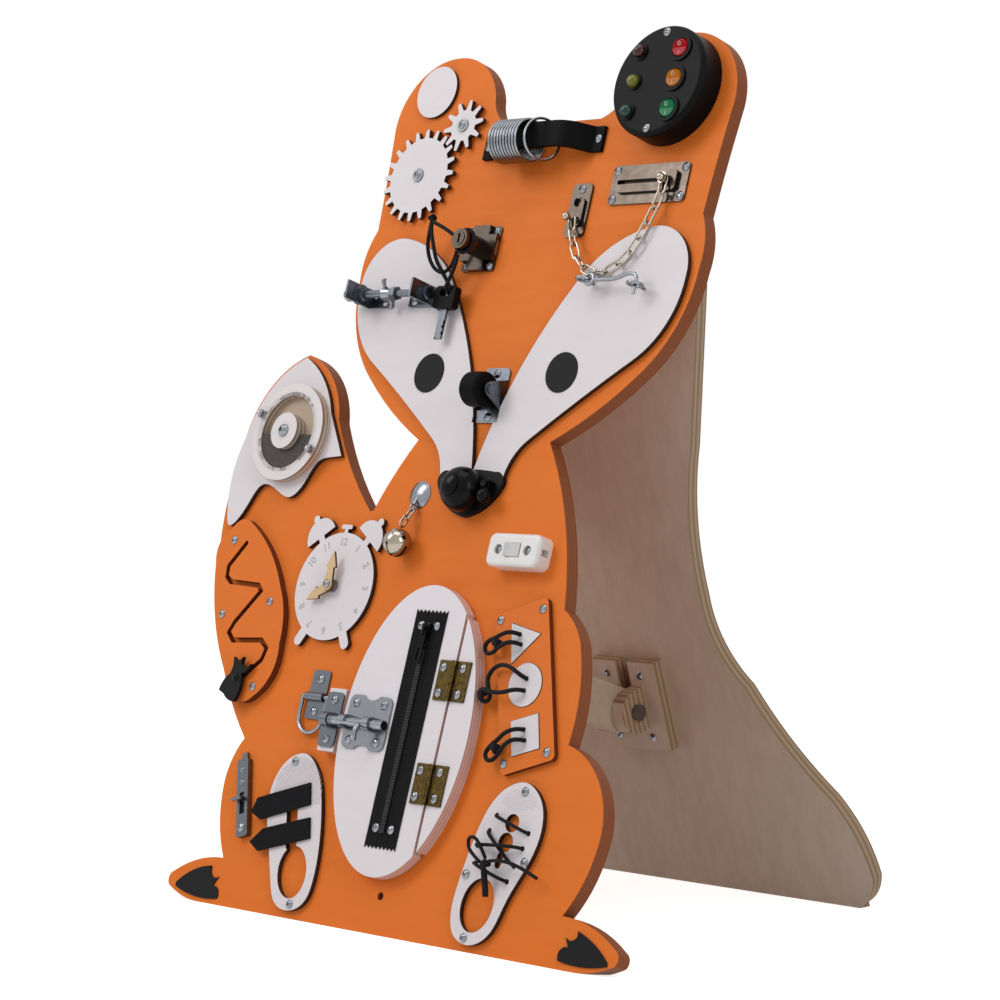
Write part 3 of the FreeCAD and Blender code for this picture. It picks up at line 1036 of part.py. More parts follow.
def jingle_bell():
    """Round bell with a cross slot, two links and its top loop, hanging down the board."""
    u, v, h = JINGLE_U, JINGLE_V, JINGLE_H
    shell = ball(u, v, h, JINGLE_R).cut(ball(u, v, h, JINGLE_R - JINGLE_WALL))
    for turn in (0, 90):
        cut = block(-1.0, 1.0, -JINGLE_R - 1, -2.0, -JINGLE_R - 1, JINGLE_R + 1)
        cut.rotate(V(0, 0, 0), V(0, 1, 0), turn)
        cut.translate(V(u, v, h))
        shell = shell.cut(cut)
    loop_v = v + JINGLE_R + 1.6
    loop = ring(V(u, loop_v, h), V(0, 0, 1), 2.4, 0.8)
    stops = [V(u, loop_v + 1.3, h), V(u, loop_v + 8.3, h - 3.8), V(u, JINGLE_RING_V - 1.5, JINGLE_RING_H)]
    links = [chain_link(stops[0], stops[1], True, 0.2, 7.0), chain_link(stops[1], stops[2], False, 0.2, 7.0)]
    return [joined([shell, loop])] + links


def switch_body():
    """Inline switch: a rounded two-part case on the board with a rocker and a cord opening."""
    half_long, half_tall = SWITCH_LONG / 2, SWITCH_TALL / 2
    shape = rounded_block(SWITCH_U - half_long, SWITCH_U + half_long, SWITCH_V - half_tall,
                          SWITCH_V + half_tall, 0, SWITCH_DEEP, 6.0)
    rim = [edge for edge in shape.Edges if edge.BoundBox.ZMin > SWITCH_DEEP - 0.1]
    shape = shape.makeFillet(2.8, rim)
    pocket_u = SWITCH_ROCKER_LONG / 2 + 0.9
    pocket_v = SWITCH_ROCKER_WIDE / 2 + CLEAR
    pocket = rounded_block(SWITCH_U - pocket_u, SWITCH_U + pocket_u, SWITCH_V - pocket_v,
                           SWITCH_V + pocket_v, 3, 30, 1.0)
    cord_opening = block(SWITCH_U + half_long - 8, SWITCH_U + half_long + 5, SWITCH_V - 2.6, SWITCH_V + 2.6,
                         3.5, 10)
    sinks = holes([(SWITCH_U + side * SWITCH_SCREW, SWITCH_V) for side in (-1, 1)], HEAD_R + 0.4,
                  SWITCH_DEEP - 2.6, 30)
    shape = shape.cut(pocket).cut(cord_opening).cut(sinks)
    return [screwed(shape, [(SWITCH_U + side * SWITCH_SCREW, SWITCH_V) for side in (-1, 1)],
                    SWITCH_DEEP - 2.6)]


def switch_rocker():
    long, wide, pivot = SWITCH_ROCKER_LONG / 2, SWITCH_ROCKER_WIDE / 2, SWITCH_DEEP - 1.5
    slope = long * math.tan(math.radians(SWITCH_TILT))
    wire = outline((-long, -3.2), (long, -3.2), (long, 2.2 + slope), ((0, 2.0), (-long, 2.2 + slope)))
    shape = along_v(wire, -wide, wide)
    shape.rotate(V(0, 0, 0), V(0, 1, 0), SWITCH_TILT)
    shape.translate(V(SWITCH_U, SWITCH_V, pivot))
    return [shape]


def wheel_lugs():
    places = []
    for turn in (LUG_TURN, LUG_TURN + 180):
        angle = math.radians(turn)
        places.append((WHEEL_U + LUG_REACH * math.cos(angle), WHEEL_V + LUG_REACH * math.sin(angle)))
    return places


def tail_wheel():
    """Laminated wheel with a round chamber for grains and a raised hub."""
    u, v = WHEEL_U, WHEEL_V
    body = disc(u, v, WHEEL_R, WHEEL_LOW, WHEEL_HIGH)
    body = body.cut(disc(u, v, CHAMBER_R, WHEEL_LOW + WHEEL_BACK, 60))
    hub = disc(u, v, WHEEL_HUB_R, WHEEL_LOW, HUB_TOP + 2.0)
    wheel = joined([body, hub])
    wheel = wheel.cut(disc(u, v, SHANK_R * 2 + RUN, -1, 60))
    screws = [revolved(outline((0, -5), (1.4, -5), (1.4, 0), (3.4, 0), (3.4, 0.6),
                               crown(3.4, 0.6, 3.0)), su, sv,
                       WHEEL_HIGH + WINDOW) for su, sv in wheel_lugs()]
    return [wheel.cut(holes(wheel_lugs(), 1.45))] + screws


def tail_window():
    """Clear ring over the chamber, held by two lugs."""
    u, v = WHEEL_U, WHEEL_V
    parts = [disc(u, v, WINDOW_R, WHEEL_HIGH, WHEEL_HIGH + WINDOW)]
    for lug_u, lug_v in wheel_lugs():
        parts.append(slot(((u, v), (lug_u, lug_v)), 2 * LUG_R, WHEEL_HIGH, WHEEL_HIGH + WINDOW))
    window = joined(parts).cut(disc(u, v, WHEEL_HUB_R + 0.05, 0, 60))
    return [window.cut(holes(wheel_lugs(), 1.45))]


def tail_grains():
    """Heap of grains in the lower half of the chamber."""
    u, v = WHEEL_U, WHEEL_V
    low, high = WHEEL_LOW + WHEEL_BACK + GRAIN_GAP, WHEEL_HIGH - GRAIN_GAP
    heap = disc(u, v, CHAMBER_R - GRAIN_GAP, low, high).cut(disc(u, v, WHEEL_HUB_R + GRAIN_GAP, 0, 60))
    return [heap.cut(block(u - 60, u + 60, v + GRAIN_LEVEL, v + 60, 0, 60))]


def wheel_axle():
    """Shouldered screw that carries the wheel, with a washer behind it."""
    u, v = WHEEL_U, WHEEL_V
    axle = disc(u, v, SHANK_R * 2, 0, HUB_TOP + 2.3)
    head = revolved(outline((0, 0), (5.2, 0), (5.2, 0.6), crown(5.2, 0.6, 3.0)), u, v, HUB_TOP + 2.3)
    hexagon_cut = plate(polygon([(u + 2.2 * math.cos(math.radians(60 * turn)),
                                  v + 2.2 * math.sin(math.radians(60 * turn))) for turn in range(6)]),
                        HUB_TOP + 4.0, 60)
    washer = disc(u, v, 7.0, OVERLAY, WHEEL_LOW - 0.1)
    return [joined([axle, head, washer]).cut(hexagon_cut)]


def maze_outline():
    return outline((-234, 302), ((-205, 281.5), (-180.6, 250.6)), ((-168, 222), (-166.6, 205.8)),
                   ((-168.5, 180), (-183.4, 162.4)), ((-195, 157.4), (-210.5, 166)),
                   ((-239, 202), (-264.6, 267)), ((-266, 281), (-254, 296)), ((-245, 303), (-234, 302)))


def orange_plates():
    maze = plate(maze_outline(), 0, MAZE).cut(slot(MAZE_PATH, MAZE_GROOVE, -1, 9))
    maze = screwed(maze, ((-248, 286), (-188.6, 238.4), (-241.8, 225.4), (-185.5, 170)), MAZE)
    half_wide, half_tall = PUZZLE_WIDE / 2, PUZZLE_TALL / 2
    puzzle = rounded_block(PUZZLE_U - half_wide, PUZZLE_U + half_wide, PUZZLE_V - half_tall,
                           PUZZLE_V + half_tall, 0, OVERLAY, 4.0)
    puzzle = turned(puzzle, PUZZLE_U, PUZZLE_V, PUZZLE_TURN)
    openings = (grown_triangle(PUZZLE_GAP, -1, 9), disc(CIRCLE_U, CIRCLE_V, CIRCLE_R + PUZZLE_GAP, -1, 9),
                square_block(PUZZLE_GAP, -1, 9))
    for opening in openings:
        puzzle = puzzle.cut(opening)
    return [maze, screwed(puzzle, ((103.2, 248.5), (63.8, 238), (136.6, 146.6), (97.5, 134.8)), OVERLAY)]


def cat_slider():
    """Cat-shaped knob above the maze, on a pin in the groove."""
    u, v = CAT_U, CAT_V
    low = MAZE + HEAD_RISE + CLEAR
    body = outline((u - 16, v - 11), ((u - 13, v - 3), (u - 7, v + 3)), (u - 5.5, v + 9), (u - 7, v + 16.5),
                   (u - 3.4, v + 14), (u + 0.8, v + 14.2), (u + 4, v + 17), (u + 3.6, v + 11.5),
                   ((u + 9, v + 9), (u + 14.5, v + 12)), ((u + 11, v + 6), (u + 6, v + 3.5)),
                   ((u + 7.5, v - 8), (u + 4, v - 19)), ((u - 4, v - 17.5), (u - 9, v - 14)))
    silhouette = plate(body, low, low + CAT_THICK)
    pin = joined([disc(u, v, MAZE_GROOVE / 2 - CLEAR, 0.4, low + 1), disc(u, v, 4.5, MAZE + CLEAR, low)])
    cap = revolved(outline((0, 0), (3.2, 0), (3.2, 0.4), crown(3.2, 0.4, 1.8)), u, v, low + CAT_THICK)
    return [joined([silhouette, pin, cap])]


def clock_face():
    """Alarm-clock shape with two bells, balls, a handle and feet."""
    u, v = CLOCK_U, CLOCK_V
    parts = [disc(u, v, CLOCK_R, 0, OVERLAY)]
    for side in (-1, 1):
        lean = side * CLOCK_BELL_TURN
        reach = CLOCK_BELL_REACH
        half = disc(u, v + reach, CLOCK_BELL_R, 0, OVERLAY)
        half = half.cut(block(u - 30, u + 30, v, v + reach, -1, 9))
        neck = block(u - 3, u + 3, v + reach - 8, v + reach + 1, 0, OVERLAY)
        knob = disc(u, v + reach + CLOCK_BELL_R + 1.6, 3.2, 0, OVERLAY)
        parts += [turned(piece, u, v, -lean) for piece in (half, neck, knob)]
        foot = slot(((u, v - CLOCK_R + 2), (u, v - CLOCK_R - 8.5)), 8.5, 0, OVERLAY)
        parts.append(turned(foot, u, v, side * 31))
    parts += [block(u - 1.8, u + 1.8, v + CLOCK_R - 1, v + CLOCK_R + 5, 0, OVERLAY),
              rounded_block(u - 6, u + 6, v + CLOCK_R + 3, v + CLOCK_R + 6.4, 0, OVERLAY, 1.2)]
    return [joined(parts)]


def clock_hand(low, angle, long):
    """Leaf-shaped hand with two barbs, drawn to 12 and then turned."""
    u, v = CLOCK_U, CLOCK_V
    half = outline((u, v - 5), ((u + 4.4, v - 3), (u + 4.6, v + 2)), (u + 3.0, v + long * 0.5),
                   (u + 5.4, v + long * 0.52), ((u + 2.4, v + long * 0.8), (u, v + long)))
    right = plate(half, low, low + HAND)
    left = right.mirror(flat(u, v), V(1, 0, 0))
    return turned(joined([right, left]), u, v, angle).cut(disc(u, v, SHANK_R + RUN, -1, 60))


def clock_spacers():
    u, v = CLOCK_U, CLOCK_V
    base = OVERLAY
    spacers = [disc(u, v, 5.0, base, base + SPACER - 0.1)]
    seat = base + SPACER + 2 * HAND + 3 * 0.2
    board_screws.append((u, v, seat))
    return [spacer.cut(disc(u, v, SHANK_R, -1, 60)) for spacer in spacers]


def ellipse_plate(low, high):
    wire = Part.Wire([Part.Ellipse(flat(DOOR_U, DOOR_V), DOOR_HALF_TALL, DOOR_HALF_WIDE).toShape()])
    wire.rotate(flat(DOOR_U, DOOR_V), V(0, 0, 1), 90)
    return plate(wire, low, high)


def door_segment():
    left = DOOR_SPLIT_U + DOOR_SPLIT / 2
    shape = ellipse_plate(0, DOOR_TOP).common(block(left, 200, 0, 400, -1, 40))
    places = [(DOOR_SPLIT_U + 8.6, low + step) for low in BRASS_HINGE_LOWS for step in (5.4, 24.6)]
    board_screws.extend((u, v, DOOR_TOP + BRASS_THICK) for u, v in places)
    return [shape.cut(holes(places, SHANK_R + CLEAR / 3))]


def door_screw_places():
    plate_left, plate_right, near, far = BARREL_PLATE
    hinge = [(DOOR_SPLIT_U - 11.5, low + step) for low in BRASS_HINGE_LOWS for step in (5.4, 24.6)]
    bolt = [(u, v) for u in (plate_left + 7.5, plate_right - 8) for v in (near + 6.5, far - 6.5)]
    zipper = [(ZIP_U + side * 8, v) for side in (-1, 1) for v in (ZIP_LOW + 15, ZIP_HIGH - 12)]
    return hinge, bolt, zipper


def door():
    right = DOOR_SPLIT_U - DOOR_SPLIT / 2
    shape = ellipse_plate(DOOR_BACK_GAP, DOOR_TOP).common(block(-200, right, 0, 400, -1, 40))
    hinge, bolt, zipper = door_screw_places()
    return [shape.cut(holes(hinge + bolt + zipper, SHANK_R + CLEAR / 3))]


def handle_track():
    """Slot through a guide, so that the bolt's handle can pass it."""
    half, reach = BARREL_HANDLE_R + 0.4, 14.0
    leans = V(0, -4, 7).normalize()
    side = V(0, leans.z, -leans.y) * half
    middle = V(0, BARREL_V, ROD_H)
    corners = [middle + side, middle + leans * reach + side, middle + leans * reach - side, middle - side]
    start, end = BARREL_GUIDES[0]
    wire = outline(*[(corner.y, corner.z) for corner in corners])
    return along_u(wire, start - 1, end + 1)


def door_hardware():
    """Barrel-bolt plate with its guides, and every screw in the door."""
    left, right, near, far = BARREL_PLATE
    seat = DOOR_TOP + BARREL_PLATE_THICK
    hinge, bolt, zipper = door_screw_places()
    base = rounded_block(left, right, near, far, DOOR_TOP, seat, 6.0)
    waist = (near + far) / 2
    for v in (near, far):
        base = base.cut(disc((left + right) / 2, v + (1 if v > waist else -1) * 9.5, 13.0, 0, 60))
    outer = BARREL_ROD_R + 1.8
    parts = [base]
    for start, end in BARREL_GUIDES:
        parts.append(rod(V(start, BARREL_V, ROD_H), V(end, BARREL_V, ROD_H), outer))
        parts.append(block(start, end, BARREL_V - outer, BARREL_V + outer, DOOR_TOP, ROD_H))
    bolt_plate = joined(parts).cut(handle_track())
    bolt_plate = bolt_plate.cut(rod(V(left - 9, BARREL_V, ROD_H), V(right + 9, BARREL_V, ROD_H),
                                    BARREL_ROD_R + RUN))
    bolt_plate = bolt_plate.cut(holes(bolt, SHANK_R + CLEAR / 3))
    end = DOOR_BACK_GAP + 0.6
    shapes = [bolt_plate]
    shapes += [pan_screw(u, v, seat, end) for u, v in bolt]
    shapes += [pan_screw(u, v, DOOR_TOP + BRASS_THICK, end) for u, v in hinge]
    shapes += [pan_screw(u, v, DOOR_TOP + ZIP_TAPE, end) for u, v in zipper]
    return shapes


def barrel_rod():
    """Round bolt with a bent handle and a ball, drawn back."""
    bar = rod(V(BARREL_ROD_TIP, BARREL_V, ROD_H), V(BARREL_ROD_END, BARREL_V, ROD_H), BARREL_ROD_R)
    grip_u = BARREL_GUIDES[1][0] - BARREL_HANDLE_R - CLEAR
    grip = tube("barrel_handle", ((grip_u, BARREL_V, ROD_H), (grip_u, BARREL_V - 4, ROD_H + 7),
                                  (grip_u - 0.2, BARREL_V - 12, ROD_H + 6)), 2 * BARREL_HANDLE_R)
    return [joined([bar, grip, ball(grip_u - 0.6, BARREL_V - 12.4, ROD_H + 6, 2.4)])]


def brass_hinge(low_v, moving):
    """One leaf of a brass butt hinge with its knuckles."""
    u, centre = DOOR_SPLIT_U, DOOR_TOP + BRASS_KNUCKLE_R
    side = -1 if moving else 1
    fifth = BRASS_HINGE_TALL / 5
    numbers = (1, 3) if moving else (0, 2, 4)
    gap = CLEAR / 2
    face = DOOR_TOP
    start, end = sorted((u + side * (BRASS_KNUCKLE_R + 0.6), u + side * BRASS_LEAF))
    parts = [block(start, end, low_v, low_v + BRASS_HINGE_TALL, face, face + BRASS_THICK)]
    for number in numbers:
        near, far = low_v + number * fifth + gap, low_v + (number + 1) * fifth - gap
        parts.append(rod(V(u, near, centre), V(u, far, centre), BRASS_KNUCKLE_R))
        tab_start, tab_end = sorted((u, u + side * (BRASS_KNUCKLE_R + 1)))
        low = face + (0.3 if moving else 0.0)
        parts.append(block(tab_start, tab_end, near, far, low, face + BRASS_THICK))
    leaf = joined(parts)
    if moving:
        leaf = leaf.cut(rod(V(u, low_v - 1, centre), V(u, low_v + BRASS_HINGE_TALL + 1, centre),
                            BRASS_PIN_R + RUN))
        places = [(DOOR_SPLIT_U - 11.5, low_v + step) for step in (5.4, 24.6)]
    else:
        pin = rod(V(u, low_v, centre), V(u, low_v + BRASS_HINGE_TALL, centre), BRASS_PIN_R)
        leaf = joined([leaf, pin])
        places = [(DOOR_SPLIT_U + 8.6, low_v + step) for step in (5.4, 24.6)]
    return leaf.cut(holes(places, SHANK_R + CLEAR / 3))


def zipper_tape():
    """Two woven tapes with a closed row of teeth between them."""
    left, right = ZIP_U - ZIP_WIDE / 2, ZIP_U + ZIP_WIDE / 2
    low, high = DOOR_TOP, DOOR_TOP + ZIP_TAPE
    tape = block(left, right, ZIP_LOW, ZIP_HIGH, low, high)
    teeth = block(ZIP_U - ZIP_TEETH / 2, ZIP_U + ZIP_TEETH / 2, ZIP_TEETH_LOW, ZIP_TEETH_HIGH, low,
                  high + ZIP_TEETH_RISE)
    zipper = door_screw_places()[2]
    return [joined([tape, teeth]).cut(holes(zipper, SHANK_R + CLEAR / 3))]


def zip_slider():
    """Slider that runs on the teeth, with a hanging pull."""
    half, wide = ZIP_SLIDER_LONG / 2, ZIP_SLIDER_WIDE / 2
    base = DOOR_TOP + ZIP_TAPE + CLEAR
    top = base + ZIP_TEETH_RISE + 1.6
    body = rounded_block(ZIP_U - wide, ZIP_U + wide, ZIP_SLIDER_V - half, ZIP_SLIDER_V + half,
                         base, top, 1.5)
    body = body.cut(block(ZIP_U - ZIP_TEETH / 2 - CLEAR, ZIP_U + ZIP_TEETH / 2 + CLEAR, 0, 400,
                          0, base + ZIP_TEETH_RISE))
    bridge = block(ZIP_U - 1.3, ZIP_U + 1.3, ZIP_SLIDER_V - 3.5, ZIP_SLIDER_V + 3.5, top - 0.2, top + 2.4)
    pull_low, pull_high = ZIP_SLIDER_V - 25.5, ZIP_SLIDER_V + 0.5
    pull = rounded_block(ZIP_U - 3.4, ZIP_U + 3.4, pull_low, pull_high, top + 0.2, top + 1.6, 2.0)
    pull = pull.cut(rounded_block(ZIP_U - 1.7, ZIP_U + 1.7, pull_low + 2.4, pull_low + 12, 0, 60, 1.2))
    return [joined([body, bridge, pull])]


def grown_triangle(grow, low, high):
    """Triangle of the puzzle, each side moved out by grow."""
    centre_u = sum(place[0] for place in TRIANGLE) / 3
    centre_v = sum(place[1] for place in TRIANGLE) / 3
    sides = [math.dist(TRIANGLE[i], TRIANGLE[i - 1]) for i in range(3)]
    area = abs((TRIANGLE[1][0] - TRIANGLE[0][0]) * (TRIANGLE[2][1] - TRIANGLE[0][1])
               - (TRIANGLE[2][0] - TRIANGLE[0][0]) * (TRIANGLE[1][1] - TRIANGLE[0][1])) / 2
    scale = 1 + grow * sum(sides) / (2 * area)
    points = [(centre_u + (u - centre_u) * scale, centre_v + (v - centre_v) * scale) for u, v in TRIANGLE]
    return plate(polygon(points), low, high)


def square_block(grow, low, high):
    half = SQUARE_SIDE / 2 + grow
    shape = block(SQUARE_U - half, SQUARE_U + half, SQUARE_V - half, SQUARE_V + half, low, high)
    return turned(shape, SQUARE_U, SQUARE_V, SQUARE_TURN)


TRIANGLE_HOLES = ((86.5, 228.6), (89.5, 221.4))
CIRCLE_HOLES = ((102.6, 197.0), (102.6, 188.4))
SQUARE_HOLES = ((110.5, 160.6), (113.5, 153.0))
TRIANGLE_ROUTE = ((86.5, 228.6, 3.4), (86.5, 228.8, 8.2), (82, 228.4, 12.5), (74.5, 225.5, 12.5),
                  (67, 223.2, 9.5), (59.8, 222, 7.6), (56.4, 217.2, 7.4), (60, 211.8, 7.6),
                  (67, 212.6, 8.6), (74, 216.4, 11.6), (82, 220.4, 12.6), (88, 221.4, 11.2),
                  (89.5, 221.4, 7.2), (89.5, 221.4, 3.4))
CIRCLE_ROUTE = ((102.6, 197.0, 3.4), (102.4, 197.4, 8.2), (98, 200.4, 12.4), (89, 204, 12),
                (79, 204.6, 10), (70.5, 201.4, 8), (66.4, 194.6, 7.4), (69.6, 187.6, 7.6),
                (74, 181.2, 7.4), (70, 176.6, 7), (63, 178.4, 7), (62.6, 184.4, 8.6), (69.6, 185.8, 12.4),
                (79, 183.4, 12.8), (90, 184.2, 12.6), (98.4, 187, 12.2), (102.4, 188.2, 8),
                (102.6, 188.4, 3.4))
SQUARE_ROUTE = ((110.5, 160.6, 3.4), (110.3, 160.4, 8.2), (106, 158.4, 12.4), (99, 155.4, 12),
                (92, 150.4, 9.6), (84.4, 146, 8), (80, 139.6, 7.4), (84.4, 134.6, 7.4), (91, 136.8, 7.6),
                (95.8, 143.4, 8.4), (102, 148.2, 11.6), (109, 151.6, 12.4), (113.2, 152.8, 8.2),
                (113.5, 153.0, 3.4))


def puzzle_piece(shape, places):
    return [shape.cut(holes(places, CORD_HOLE))]


def shoe_straps():
    """Two hook-and-loop straps that peel open about their right ends."""
    low, high = SHOE_STRAP_LOW, SHOE_STRAP_LOW + SHOE_STRAP
    first = polygon(((-95.6, 102.4), (-90.5, 86.0), (-142, 69.4), (-154, 74), (-150, 85.5)))
    second = polygon(((-87.6, 76.5), (-82.8, 61), (-137, 45.6), (-148, 51.4), (-136, 63)))
    return [plate(first, low, high), plate(second, low, high)]


LACE_BARS = (((102, 98, 1.6), (102.4, 97.8, 7.2), (111, 95.4, 8.6), (127, 91, 8.6),
              (135.6, 88.6, 7.2), (136, 88.4, 1.6)),
             ((98, 86.6, 1.6), (98.3, 86.3, 7.0), (105, 81, 7.6), (122, 69.4, 7.2),
              (128.7, 64.7, 7.0), (129, 64.4, 1.6)),
             ((89.8, 75, 1.6), (90.2, 75, 7.4), (98, 75.2, 11.2), (124, 77, 11.6),
              (133, 77.4, 7.4), (133.4, 77.4, 1.6)),
             ((91.6, 62.6, 1.6), (92, 62.6, 7.4), (99, 60.8, 11.2), (117, 55.4, 11.2),
              (125, 53.2, 7.4), (125.4, 53, 1.6)))
LACE_END = ((112, 64.5, 12.6), (122, 66, 15.2), (135, 65.4, 14.2), (147, 62.2, 11), (157, 58.2, 8.4))
LACE_BOW = ((107, 66, 11), (103.5, 74, 14.8), (95.5, 80, 15), (88.4, 78.6, 13.4), (90.2, 71.6, 13.2),
            (97.4, 67.2, 14.4), (105, 63, 14.4))
LACE_KNOT = (109.4, 62.0, 13.4)


def shoe_lace():
    """Lace across four pairs of holes, tied in a bow with two ends."""
    parts = [tube("lace_bar", bar, LACE) for bar in LACE_BARS]
    knot = ball(*LACE_KNOT, 5.4)
    knot = knot.cut(Part.makeCompound(parts))
    tail = rod(V(*LACE_KNOT), V(112, 40, 8.0), 2.6)
    loose = [tube("lace_end", LACE_END, LACE), tube("lace_bow", LACE_BOW, LACE), tail]
    bow = joined([knot] + loose)
    for bar in parts:
        bow = bow.cut(bar)
    return parts + [max(bow.Solids, key=lambda solid: solid.Volume)]


def to_front(shape):
    """Stand the front board's pieces up, leaning back, with the sole's middle at the origin."""
    shape = shape.copy()
    shape.rotate(V(0, 0, 0), V(1, 0, 0), 90 - LEAN)
    shape.translate(V(0, -SOLE_MIDDLE, 0))
    return shape


def to_rear(shape):
    """Stand the rear panel's pieces up, leaning forward: w points at the front board."""
    shape = shape.copy()
    shape.rotate(V(0, 0, 0), V(1, 0, 0), 90 + LEAN)
    shape.translate(V(0, REAR_FLOOR_Y - SOLE_MIDDLE, 0))
    return shape


def save(name, shapes, place=to_front, cut_flat=False):
    """Write one sub-part; a sole is cut flat at the floor."""
    solids = []
    for shape in shapes:
        placed = place(shape)
        if cut_flat:
            placed = placed.cut(Part.makeBox(2000, 2000, 100, V(-1000, -1000, -100)))
        solids += placed.Solids
    Part.makeCompound(solids).exportStep("parts/" + name + ".step")
    volume = sum(solid.Volume for solid in solids) / 1000
    print(name, len(solids), "solids", round(volume, 2), "cm3", all(solid.isValid() for solid in solids))


def main():
    os.makedirs("parts", exist_ok=True)
    big, small, washers = gears()
    save("gear_large", [big])
    save("gear_small", [small])
    save("white_overlays", white_overlays())
    save("black_overlays", black_overlays())
    save("handle_strap", handle_strap())
    save("handle_rings", handle_rings())
    save("light_housing", light_housing())
    save("battery_pack", battery_pack())
    for name, row in zip(("rocker_red", "rocker_amber", "rocker_green"), LIGHT_ROWS):
        save(name, round_rocker(row))
    save("nickel_plates", nickel_plates())
    save("door_chain", door_chain())
    save("screw_eyes", screw_eyes())
    save("hook", hook())
    save("lock_core", lock_core())
    save("lock_bolt", lock_bolt())
    save("key", key())
    save("key_cord", key_cord())
    save("steel_brackets", steel_brackets())
    save("wing_nut", wing_nut())
    save("caster_wheel", caster_wheel())
    save("bell_body", bell_body())
    save("bell_lever", bell_lever())
    save("jingle_bell", jingle_bell())
    save("switch_body", switch_body())
    save("switch_rocker", switch_rocker())
    save("tail_wheel", tail_wheel())
    save("tail_window", tail_window())
    save("tail_grains", tail_grains())
    save("orange_plates", orange_plates())
    save("cat_slider", cat_slider())
    save("clock_face", [clock_face()[0].cut(disc(CLOCK_U, CLOCK_V, SHANK_R + CLEAR / 3, -1, 9))])
    hands_low = OVERLAY + SPACER + 0.1
    save("hour_hand", [clock_hand(hands_low, 120, HAND_LONG)])
    save("minute_hand", [clock_hand(hands_low + HAND + 0.2, 0, HAND_LONG + 0.5)])
    save("d_ring", d_ring())
    save("door_hardware", door_hardware())
    save("barrel_rod", barrel_rod())
    save("door", door())
    save("door_segment", door_segment() + [keeper_block()])
    save("door_hinge_fixed", [brass_hinge(low, False) for low in BRASS_HINGE_LOWS])
    save("door_hinge_moving", [brass_hinge(low, True) for low in BRASS_HINGE_LOWS])
    save("zipper_tape", zipper_tape())
    save("zip_slider", zip_slider())
    save("puzzle_triangle", puzzle_piece(grown_triangle(0, PUZZLE_LOW, PUZZLE_HIGH), TRIANGLE_HOLES))
    save("puzzle_circle", puzzle_piece(disc(CIRCLE_U, CIRCLE_V, CIRCLE_R, PUZZLE_LOW, PUZZLE_HIGH),
                                       CIRCLE_HOLES))
    save("puzzle_square", puzzle_piece(square_block(0, PUZZLE_LOW, PUZZLE_HIGH), SQUARE_HOLES))
    for name, route in (("triangle_cord", TRIANGLE_ROUTE), ("circle_cord", CIRCLE_ROUTE),
                        ("square_cord", SQUARE_ROUTE)):
        save(name, [tube(name, route, LOOP_CORD)])
    save("flush_slide", flush_slide())
    save("shoe_straps", shoe_straps())
    save("shoe_lace", shoe_lace())
    spacers = clock_spacers()
    screws = [pan_screw(u, v, seat, -GRIP) for u, v, seat in board_screws]
    fixed_leaf_screws = []
    for u, v in leaf_screws(HINGE_V, 1):
        screw = pan_screw(0, 0, 0, -GRIP)
        screw.rotate(V(0, 0, 0), V(1, 0, 0), 180)
        screw.translate(V(u, v, -2 * PLY - LEAF))
        fixed_leaf_screws.append(screw)
    save("screws", screws + washers + spacers + wheel_axle() + fixed_leaf_screws)
    save("front_board", front_board(), cut_flat=True)
    save("back_blocks", back_blocks())
    save("rear_panel", rear_panel(), to_rear, cut_flat=True)
    save("leg_hardware", leg_hardware(), to_rear)
    save("leg_bracket", leg_bracket(), to_rear)
    save("strut", strut())
    for name, radii in tube_radii.items():
        print("arc radii", name, radii)
    print("hinge line", PIVOT_Y - SOLE_MIDDLE, PIVOT_Z, "strut", STRUT_V, STRUT_BACK_H, CATCH_H)


main()
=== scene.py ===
# %% [markdown]
# # A fox-shaped busy board
# Two sheets of 12 mm plywood meet at a pair of hinges and stand like an A.
# The front sheet is painted orange and carries locks, lamps, a clock and puzzles.
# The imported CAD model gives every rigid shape, so this lesson is about finish:
# where the paint ends, how plated steel shines, and how a limp cord lies.

# %% Load the frame
import bpy
import bmesh
import math
from mathutils import Matrix, Vector


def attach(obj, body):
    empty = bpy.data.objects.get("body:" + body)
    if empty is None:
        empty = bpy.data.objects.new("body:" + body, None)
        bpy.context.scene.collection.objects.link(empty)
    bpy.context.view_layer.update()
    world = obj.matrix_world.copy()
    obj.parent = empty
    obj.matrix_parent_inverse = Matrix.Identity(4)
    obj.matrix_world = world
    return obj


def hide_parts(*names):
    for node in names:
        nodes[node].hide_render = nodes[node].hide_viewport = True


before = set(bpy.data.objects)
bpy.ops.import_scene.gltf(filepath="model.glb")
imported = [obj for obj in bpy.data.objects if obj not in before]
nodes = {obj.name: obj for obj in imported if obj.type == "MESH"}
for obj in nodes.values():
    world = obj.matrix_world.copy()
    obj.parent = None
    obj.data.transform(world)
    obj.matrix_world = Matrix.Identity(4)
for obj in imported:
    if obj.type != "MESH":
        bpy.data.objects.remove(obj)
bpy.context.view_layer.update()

# %% [markdown]
# The fittings are drawn on the leaning board: u runs right, v runs up its slope
# and h stands out from its face, all in millimetres. One function carries such a
# place into the room, so the numbers here read like marks on the real board.

# %% Board coordinates
LEAN = math.radians(17.7)
SOLE_MIDDLE = 6.298
UP_BOARD = Vector((0, math.sin(LEAN), math.cos(LEAN)))
OUT_OF_BOARD = Vector((0, -math.cos(LEAN), math.sin(LEAN)))


def on_board(u, v, h=0.0):
    """The room's place, in metres, of a mark on the board in mm."""
    place = Vector((u, -SOLE_MIDDLE, 0)) + UP_BOARD * v + OUT_OF_BOARD * h
    return place / 1000


print("a mark at 100, 300 lies at", on_board(100, 300))
